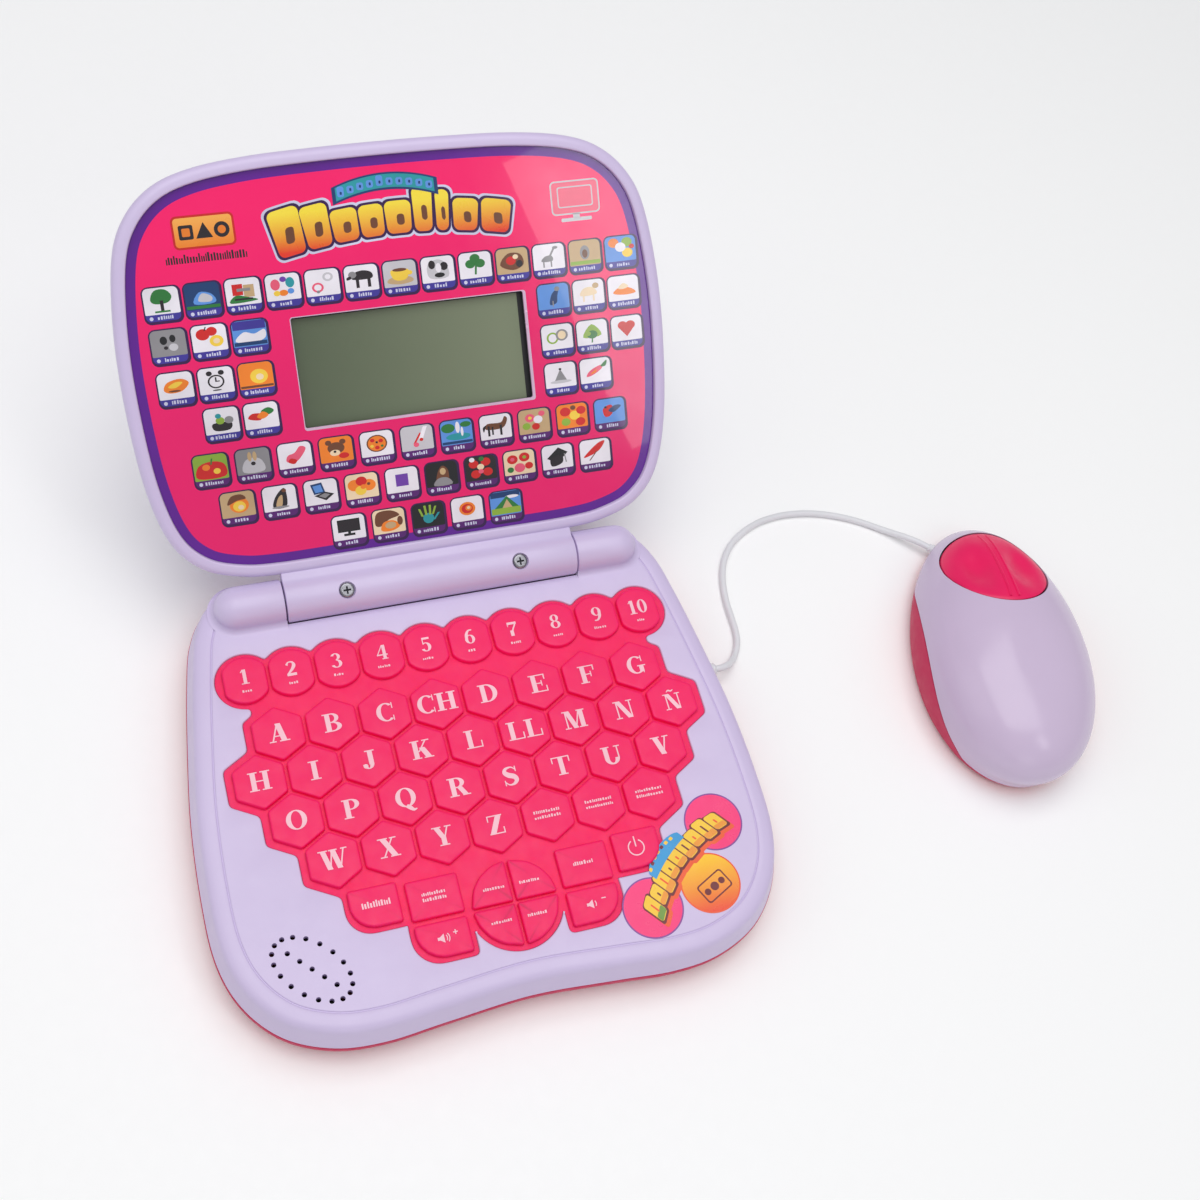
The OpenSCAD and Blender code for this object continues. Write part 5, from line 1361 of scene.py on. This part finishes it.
class Layers:
    """Flat prints stacked a hair's breadth apart on one surface."""

    def __init__(self, z):
        self.shape, self.z = Shape(), z

    def ink(self, loops, colour, level):
        self.shape.solid(loops if isinstance(loops, list) else [loops], self.z - INK_SUNK, self.z +
            INK_STEP * (level + 1),
                         COLOUR_KEYS.index(colour))


def make_icons():
    prints = Layers(PANEL_Z)
    rng = random.Random(7)
    pictures = iter(PICTURES)
    for row, (count, x0, pitch, y) in enumerate(ICON_ROWS):
        band = "blue" if row < 7 else "violet"
        for i in range(count):
            x, picture = x0 + i * pitch, next(pictures)
            prints.ink(box_line(x + 0.2, y - 0.25, ICON_W, ICON_H, 2.2, 4), "line", 0)
            face = box_line(x, y, ICON_W - 1.4, ICON_H - 1.4, 1.6, 4)
            prints.ink(face, band, 1)
            low = y - ICON_H / 2 + 2.9
            field = face.copy()
            field[:, 1] = np.maximum(field[:, 1], low)
            prints.ink(relax(even(field, 0.4), 1), picture[0], 2)
            middle, half = (low + y + ICON_H / 2 - 0.5) / 2, (y + ICON_H / 2 - 0.5 - low) / 2
            for level, (colour, line) in enumerate(picture[1:]):
                placed = line * (half * 1.12, half * 0.92) + (x, middle)
                placed[:, 0] = np.clip(placed[:, 0], x - ICON_W / 2 + 0.75, x + ICON_W / 2 - 0.75)
                prints.ink(placed, colour, 3 + level)
            prints.ink(circle(x - 3.9, low - 1.2, 0.62, n=12), "pale", 2)
            prints.ink(greeked(x + 0.7, low - 1.25, 1, rng.uniform(4.4, 7), rng.random(), 0.85), "pale", 2)
    prints.shape.make("panel_pictures", PRINTS, "lid", slot="printed_panel", place=LID_PLACE)


def arched(x, y):
    """The title's arch: raised and leaning outwards away from its middle."""
    return np.column_stack((x, y + 5.2 * (1 - ((x - 3.5) / 44) ** 2)))


def make_title():
    """A row of rounded block shapes in the place of the title, with a ribbon above and two badges."""
    fill = gradient("title fill", srgb(232, 50, 20), srgb(252, 226, 60), 1, 0.1592, 0.1693, Coat_Weight=0.6,
        Coat_Roughness=0.03)
    fade = gradient("badge fill", srgb(240, 130, 30), srgb(250, 176, 80), 1, 0.163, 0.1703, Coat_Weight=0.6,
        Coat_Roughness=0.03)
    prints = Layers(PANEL_Z)
    blocks = ((-33.5, 9.6, 15.5), (-23.8, 8.6, 14), (-14.4, 8.6, 10.6), (-5.4, 8, 10.4), (3.6, 8.6, 10.6),
              (12, 6.4, 14.5), (18.6, 4.4, 13.4), (26.4, 8.4, 10.6), (36.8, 9.8, 11))
    rings = {0: [], 1: [], 2: [], 3: []}
    base = 113.6
    for x, w, h in blocks:
        for key, grow in ((0, 1.5), (1, 0.8), (2, 0.0)):
            line = even(box_line(0, 0, w + 2 * grow, h + 2 * grow, 2.0 + grow * 0.5, 5), 0.7)
            lean = (x - 3.5) * 0.004
            rings[key].append(arched(line[:, 0] * (1 + 0.012 * line[:, 1]) + x + lean * line[:, 1], line[:, 1] +
                base + h / 2))
        counter = even(box_line(0, 0, w * 0.3, h * 0.34, 1, 4), 0.5)
        rings[3].append(arched(counter[:, 0] + x + w * 0.08, counter[:, 1] + base + h * 0.42))
    prints.ink(rings[0], "pale", 0)
    prints.ink(rings[1], "line", 1)
    for line in rings[2]:
        prints.shape.solid([line], PANEL_Z - INK_SUNK, PANEL_Z + INK_STEP * 3, len(PRINTS))
    prints.ink(rings[3], "brown", 3)
    xs = np.linspace(-17.5, 18, 30)
    top = 134.6 + 4.2 * (1 - ((xs - 0.5) / 20) ** 2)
    prints.ink(np.vstack((np.column_stack((xs, top - 5.6)), np.column_stack((xs, top))[::-1])), "night", 4)
    prints.ink(np.vstack((np.column_stack((xs[1:-1], top[1:-1] - 4.9)),
        np.column_stack((xs[1:-1], top[1:-1] - 0.6))[::-1])), "teal", 5)
    for k in range(10):
        x = -14.6 + k * 3.3
        y = 131.6 + 4.2 * (1 - ((x - 0.5) / 20) ** 2)
        prints.ink(box_line(x, y + (0.5 if k in (0, 4) else 0), 2.3, 2.4 + (1.0 if k in (0, 4) else 0), 0.7, 4),
            "sky", 6)
        prints.ink(box_line(x + 0.1, y, 0.7, 1.0, 0.3, 3), "night", 7)
    # the badge at the upper left, three plain marks on it, and a caption below
    prints.ink(box_line(-60, 126, 20, 10.6, 1.8), "red", 0)
    prints.shape.solid([box_line(-60, 126, 18.6, 9.2, 1.2)], PANEL_Z - INK_SUNK, PANEL_Z + INK_STEP * 2,
        len(PRINTS) + 1)
    prints.ink(box_line(-65.6, 126, 4.6, 4.6, 0.6), "dark", 2)
    prints.ink(box_line(-65.6, 126, 2.6, 2.6, 0.4), "orange", 3)
    prints.ink(np.array(((-62.6, 123.8), (-57.2, 123.8), (-59.9, 128.8))), "dark", 2)
    prints.ink(spot(-54.2, 126, 2.5), "dark", 2)
    prints.ink(spot(-54.2, 126, 1.3), "orange", 3)
    prints.ink(greeked(-60.2, 117.4, 1, 26, 90, 1.9), "dark", 1)
    # the outlined mark at the upper right: a monitor on its foot
    for line, colour, level in (
        (box_line(65.3, 124.6, 17.4, 11.4, 1.6), "silver", 0), (box_line(65.3, 124.6, 16.4, 10.4, 1.2), "pink", 1),
        (box_line(65.3, 124.8, 12.6, 7.0, 0.8), "silver", 2), (box_line(65.3, 124.8, 11.8, 6.2, 0.6), "pink", 3),
        (box_line(65.3, 117.2, 11, 1.2, 0.4), "silver", 0), (box_line(65.3, 118.4, 2.4, 1.6), "silver", 0),
    ):
        prints.ink(line, colour, level)
    prints.shape.make("panel_title", [*PRINTS, fill, fade], "lid", slot="printed_panel", place=LID_PLACE)


def field_material():
    """The pink field: brighter above, deeper towards the lower edge and the left, under a clear gloss."""
    n = Nodes("panel field")
    down = n.drift("Z", 1, 0, 0.04, 0.11, n.noise(16, 3), 0.5)
    n.link(n.ramp(down, ((0.25, srgb(255, 12, 108)), (0.8, srgb(236, 8, 106)))),
           n.shader.inputs["Base Color"])
    n.link(n.scaled(n.noise(120, 4), 0.1, 0.2), n.shader.inputs["Roughness"])
    n.bump(n.noise(700, 2), 0.02, 0.0001)
    n.shader.inputs["Coat Weight"].default_value = 0.7
    n.shader.inputs["Coat Roughness"].default_value = 0.02
    return n.material


def make_panel():
    purple = plastic("panel border", srgb(96, 22, 146), 0.16, 0.08, bump=0.02, Coat_Weight=0.6, Coat_Roughness=0.03)
    # pale colour of the sheet's real cut edge, also used for the painted glint band round the window
    wall = plastic("panel cut edge and painted glint", srgb(226, 196, 224), 0.25, 0.1, bump=0.1, Transmission_Weight=0.2)
    window = box_line(*LCD_AT, *WINDOW, 0.8)
    outer = inset(LID_LINE, RIM_W + 0.3)
    border = inset(LID_LINE, RIM_W + 3.4)
    shape = Shape().fill(outer, [border], PANEL_Z, 1)
    shape.fill(border, [window], PANEL_Z, 0)
    shape.strip([ring(outer, PANEL_Z), ring(outer, PANEL_Z - PANEL_T)], 1)
    shape.strip([ring(window, PANEL_Z), ring(window, PANEL_Z - PANEL_T)], 2)
    shape.fill(outer, [window], PANEL_Z - PANEL_T, 1)
    shape.make("panel_sheet", [field_material(), purple, wall], "lid", ["screen_panel"], "printed_panel", LID_PLACE)
    # a pale band on the sheet round the window, widest at the right and below: painted glint of the cut edge
    (cx, cy), (w, h) = LCD_AT, WINDOW
    outside = box_line(cx + 0.35, cy - 0.3, w + 1.3, h + 1.2, 1)
    inside_line = box_line(cx, cy, w, h, 0.8)
    glint_band = Shape()
    glint_band.strip([ring(inside_line, PANEL_Z - 0.1), ring(inside_line, PANEL_Z + 0.03), ring(outside, PANEL_Z + 0.03),
                ring(outside, PANEL_Z - 0.1)])
    glint_band.make("window_painted_glint", [wall], "lid", slot="printed_panel", place=LID_PLACE)


def lcd_material():
    n = Nodes("lcd glass")
    along = n.drift("X", 0, 1, -0.034, 0.042, n.noise(14, 2), 0.15)
    n.link(n.ramp(along, ((0.05, srgb(86, 98, 76)), (1.0, srgb(122, 132, 106)))), n.shader.inputs["Base Color"])
    n.link(n.scaled(n.noise(600, 3), 0.3, 0.42), n.shader.inputs["Roughness"])
    # fine cells of the display
    grid = n.add("ShaderNodeTexVoronoi", feature="DISTANCE_TO_EDGE")
    grid.inputs["Scale"].default_value = 1800
    grid.inputs["Randomness"].default_value = 0.0
    n.link(n.at, grid.inputs["Vector"])
    n.bump(grid.outputs["Distance"], 0.04, 0.0001)
    return n.material


def make_lcd():
    shape = Shape()
    glass = box_line(*LCD_AT, WINDOW[0] + 3.4, WINDOW[1] + 3.4, 0.6)
    shape.sweep(glass, ((0.3, -2.15), (0, -2.4), (0, -3.6)))
    shape.fill(inset(glass, 0.3), [], -2.15)
    shape.fill(glass, [], -3.6)
    # a black strip inside the window's right and upper sides, as painted shadow
    painted_shadow = Shape()
    (cx, cy), (w, h) = LCD_AT, WINDOW
    painted_shadow.solid([bar(cx + w / 2 - 1.7, cy - h / 2 - 1, 3, h + 2),
        bar(cx - w / 2 - 1, cy + h / 2 - 0.6, w + 2, 1.6)], -2.16, -2.08)
    painted_shadow.make("lcd_painted_shadow", [BLACK_PLASTIC], "lid", slot="black_plastic", place=LID_PLACE)
    well = Shape()
    for grow in (0.15, 2.0):
        line = box_line(*LCD_AT, WINDOW[0] + 2 * grow, WINDOW[1] + 2 * grow, 0.8)
        well.strip([ring(line, PANEL_Z - PANEL_T), ring(line, -2.1)])
    well.strip([ring(box_line(*LCD_AT, WINDOW[0] + 2 * g, WINDOW[1] + 2 * g, 0.8),
        PANEL_Z - PANEL_T - 0.01) for g in (0.15, 2.0)])
    shape.make("lcd_screen", [lcd_material()], "lid", ["lcd_module"], "lcd_glass", LID_PLACE)
    well.make("lcd_well", [BLACK_PLASTIC], "lid", slot="black_plastic", place=LID_PLACE)


make_icons()
make_title()
make_panel()
make_lcd()

# ---- Mouse ----

MOUSE_POWER = 2.4
MOUSE_NARROWING = 0.07


def mouse_seam(y):
    """The height of the line between the two shells: low at the ends, high at the middle."""
    return np.maximum(5, -43 + np.sqrt(60 ** 2 - (y + 6) ** 2))


def mouse_dome(z):
    """Above the widest level: the share of the height, and how wide the mouse still is there."""
    share = (z - MOUSE_WIDE_Z) / (MOUSE_H - MOUSE_WIDE_Z)
    return share, (1 - share ** 2.2) ** (1 / MOUSE_POWER)


def mouse_point(a, z):
    """A point of the mouse's side at an angle and a height."""
    if z >= MOUSE_WIDE_Z:
        share, k = mouse_dome(z)
    else:
        share, k = 0, 1 - 0.035 * ((MOUSE_WIDE_Z - z) / 6) ** 2 if z > 2 else 0.965 - 0.065 * ((2 - z) / 2) ** 2
    return ((MOUSE_W / 2 * k * math.cos(a) * (1 - MOUSE_NARROWING * math.sin(a)),
        MOUSE_L / 2 * k * math.sin(a) - MOUSE_LEAN * share, z))


def mouse_rings(count=128):
    """Rings of the upper shell from the seam inwards, each point following its own way to the top."""
    shares = np.concatenate((np.linspace(0, 0.5, 12), 1 - np.geomspace(0.5, 0.012, 14)[1:]))
    angles = np.arange(count) * 2 * math.pi / count
    starts = []
    for a in angles:
        z = 10.0
        for _ in range(12):
            z = float(mouse_seam(mouse_point(a, z)[1]))
        starts.append(z)
    rings = []
    for t in shares:
        rings.append(np.array([mouse_point(a, z0 + (MOUSE_H - z0) * min(t, 0.9995)) for a,
            z0 in zip(angles, starts)]))
    return rings, angles, starts


def surface_height(x, y):
    """The upper shell's height over a point of the plan, by halving."""
    low, high = MOUSE_WIDE_Z, MOUSE_H - 1e-4
    for _ in range(40):
        z = (low + high) / 2
        share, k = mouse_dome(z)
        v = (y + MOUSE_LEAN * share) / (MOUSE_L / 2 * k)
        u = x / (MOUSE_W / 2 * k * (1 - MOUSE_NARROWING * max(-1, min(1, v))))
        if u * u + v * v > 1:
            high = z
        else:
            low = z
    return low


def make_mouse():
    rings, angles, starts = mouse_rings()
    shape = Shape().strip(rings).fan(rings[-1], (*np.mean(rings[-1], 0)[:2], MOUSE_H))
    lip = np.array([mouse_point(a, z0) for a, z0 in zip(angles, starts)])
    inward = np.column_stack((inset(lip[:, :2], 1.6), lip[:, 2] + 0.1))
    deeper = np.column_stack((inset(lip[:, :2], 2.0), lip[:, 2] + 2.0))
    shape.strip([lip, inward, deeper])
    inner = []
    for t in (0.25, 0.5, 0.72, 0.86, 0.95):
        ring_points = np.array([mouse_point(a, z0 + (MOUSE_H - z0) * t) for a, z0 in zip(angles, starts)])
        inner.append(np.column_stack((inset(ring_points[:, :2], 1.9), ring_points[:, 2] - 2.0)))
    shape.strip([deeper, *inner]).fan(inner[-1])
    top = shape.make("mouse_top_skin", [MOUSE_LAVENDER], "base", ["mouse_top_shell"], "mouse_lavender",
        MOUSE_PLACE, 30)
    hole = circle(*BUTTON_AT, BUTTON_R[0] + 0.35, BUTTON_R[1] + 0.35, n=96)
    cut(top, Shape().strip([ring(hole, 8), ring(hole, 44)]).fan(ring(hole, 8)).fan(ring(hole, 44)), MOUSE_PLACE)
    # the button: a face that follows the shell, with a dimple either side of a ridge
    outline = circle(*BUTTON_AT, BUTTON_R[0] - 0.25, BUTTON_R[1] - 0.25, n=96)
    middle = np.array(BUTTON_AT)

    def face(p):
        x, y = p
        rel = (p - middle) / BUTTON_R
        edge = min(1.0, float(np.linalg.norm(rel)))
        z = surface_height(x, y) - 0.3
        for side in (-1, 1):
            d2 = ((x - middle[0] - side * 8.6) / 6.2) ** 2 + ((y - middle[1] + 1.5) / 10.5) ** 2
            z -= 3.4 * math.exp(-(d2 ** 1.25) * 1.6)
        return z - 0.55 * max(0.0, (edge - 0.93) / 0.07) ** 2

    scales = np.concatenate(((1, 0.99, 0.975, 0.95), np.linspace(0.91, 0.05, 26)))
    rings = []
    for s in scales:
        flat = middle + (outline - middle) * s
        rings.append(np.array([(*p, face(p)) for p in flat]))
    button = Shape()
    wall = rings[0].copy()
    wall[:, 2] = np.maximum(wall[:, 2] - 4, 15.4)
    button.strip([wall, *rings]).fan(rings[-1]).fan(wall)
    # two parallel ridges down the middle
    ridge = []
    for x in (-1.3, 1.3):
        line = [(middle[0] + x * (1 + 0.25 * (abs(v) / 16) ** 2), middle[1] + v) for v in np.linspace(-17, 16.6,
            30)]
        for h, w in ((-0.5, 0.62), (0.25, 0.42), (0.42, 0.14)):
            ridge.append([np.array([(p[0] + side * w, p[1], face(np.array(p)) +
                h) for p in line]) for side in (-1, 1)])
        k = len(ridge) - 3
        lines = [ridge[k][0], ridge[k + 1][0], ridge[k + 2][0], ridge[k + 2][1], ridge[k + 1][1], ridge[k][1]]
        button.strip([np.array(q) for q in lines], closed=False)
    button.make("mouse_button_cap", [MOUSE_PINK], "mouse_rocker", ["mouse_button"], "pink_plastic", MOUSE_PLACE, 30)
    # the lower shell: a deeper pink bowl up to the seam
    low = []
    for t in (0, 0.02, 0.1, 0.25, 0.45, 0.65, 0.85, 0.98):
        low.append(np.array([mouse_point(a, (z0 - 0.12) * t) for a, z0 in zip(angles, starts)]))
    lower = Shape().strip(low).fan(low[0])
    edge_in = np.column_stack((inset(low[-1][:, :2], 2), low[-1][:, 2]))
    lower.strip([low[-1], edge_in])
    floor_ring = np.column_stack((inset(low[2][:, :2], 2.2), np.full(len(low[2]), 2.2)))
    lower.strip([edge_in, floor_ring]).fan(floor_ring)
    lower.make("mouse_bottom_skin", [PINK_SHELL], "base", ["mouse_bottom_shell"], "pink_plastic", MOUSE_PLACE)


make_mouse()

# ---- Feet, door and the pieces inside ----

def make_feet():
    shape = Shape()
    for x, y in FEET:
        rings = [ring(circle(x, y, r, n=40), z) for r, z in ((5.9, 1.6), (5.95, 0.5), (5.75, 0.18), (5.4, 0.0))]
        shape.strip(rings).fan(rings[0]).fan(rings[-1])
    shape.make("foot_pads", [FOOT_RUBBER], "base", ["rubber_feet"], "foot_rubber")


NODE_LOOKS = {
    "battery_cells": CELL_WRAP, "battery_contacts": STEEL, "main_board": BOARD, "speaker": BLACK_PLASTIC,
    "case_screws": STEEL, "hinge_pins": STEEL, "mouse_board": BOARD, "mouse_screws": STEEL, "lid_board": BOARD,
    "battery_door": PINK_SHELL,
}


def dress_nodes():
    for name, material in NODE_LOOKS.items():
        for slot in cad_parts[name].material_slots:
            slot.material = material


make_feet()
dress_nodes()

# ---- Light and floor ----

def area_light(name, place, target, size, energy, colour=(1, 1, 1), size_y=None):
    data = bpy.data.lights.new(name, "AREA")
    data.energy, data.color = energy, colour
    data.shape, data.size, data.size_y = "RECTANGLE", size, size_y or size
    light = bpy.data.objects.new(name, data)
    place, target = Vector(place), Vector(target)
    light.matrix_world = Matrix.Translation(place) @ (target - place).to_track_quat("-Z", "Y").to_matrix().to_4x4()
    bpy.context.scene.collection.objects.link(light)


def make_studio():
    world = bpy.data.worlds.new("studio")
    world.use_nodes = True
    world.node_tree.nodes["Background"].inputs["Color"].default_value = (0.97, 0.98, 1, 1)
    world.node_tree.nodes["Background"].inputs["Strength"].default_value = 0.4
    bpy.context.scene.world = world
    area_light("overhead", (0.05, 0.05, 1.35), (0.05, 0.0, 0), 1.2, 10.6)
    area_light("left_key", (-0.9, 0.2, 0.85), (0, 0, 0.03), 0.8, 1.2)
    area_light("front_fill", (-0.1, -1.25, 0.4), (0.0, 0, 0.03), 0.6, 0.8)
    area_light("window_card", (0.455, -0.62, 0.80), (0.07, 0.14, 0.09), 0.19, 0.5, size_y=0.32)
    floor_mesh = bpy.data.meshes.new("studio_floor")
    edge = 4
    floor_mesh.from_pydata([(-edge, -edge, 0), (edge, -edge, 0), (edge, edge, 0), (-edge, edge, 0)], [],
        [(0, 1, 2, 3)])
    floor = bpy.data.objects.new("studio_floor", floor_mesh)
    floor_mesh.materials.append(plastic("floor", srgb(255, 255, 255), 0.6, 0.0, grain=300, bump=0.02))
    bpy.context.scene.collection.objects.link(floor)
    bpy.context.scene.view_settings.view_transform = "Standard"
    bpy.context.scene.view_settings.exposure = 0.0


make_studio()
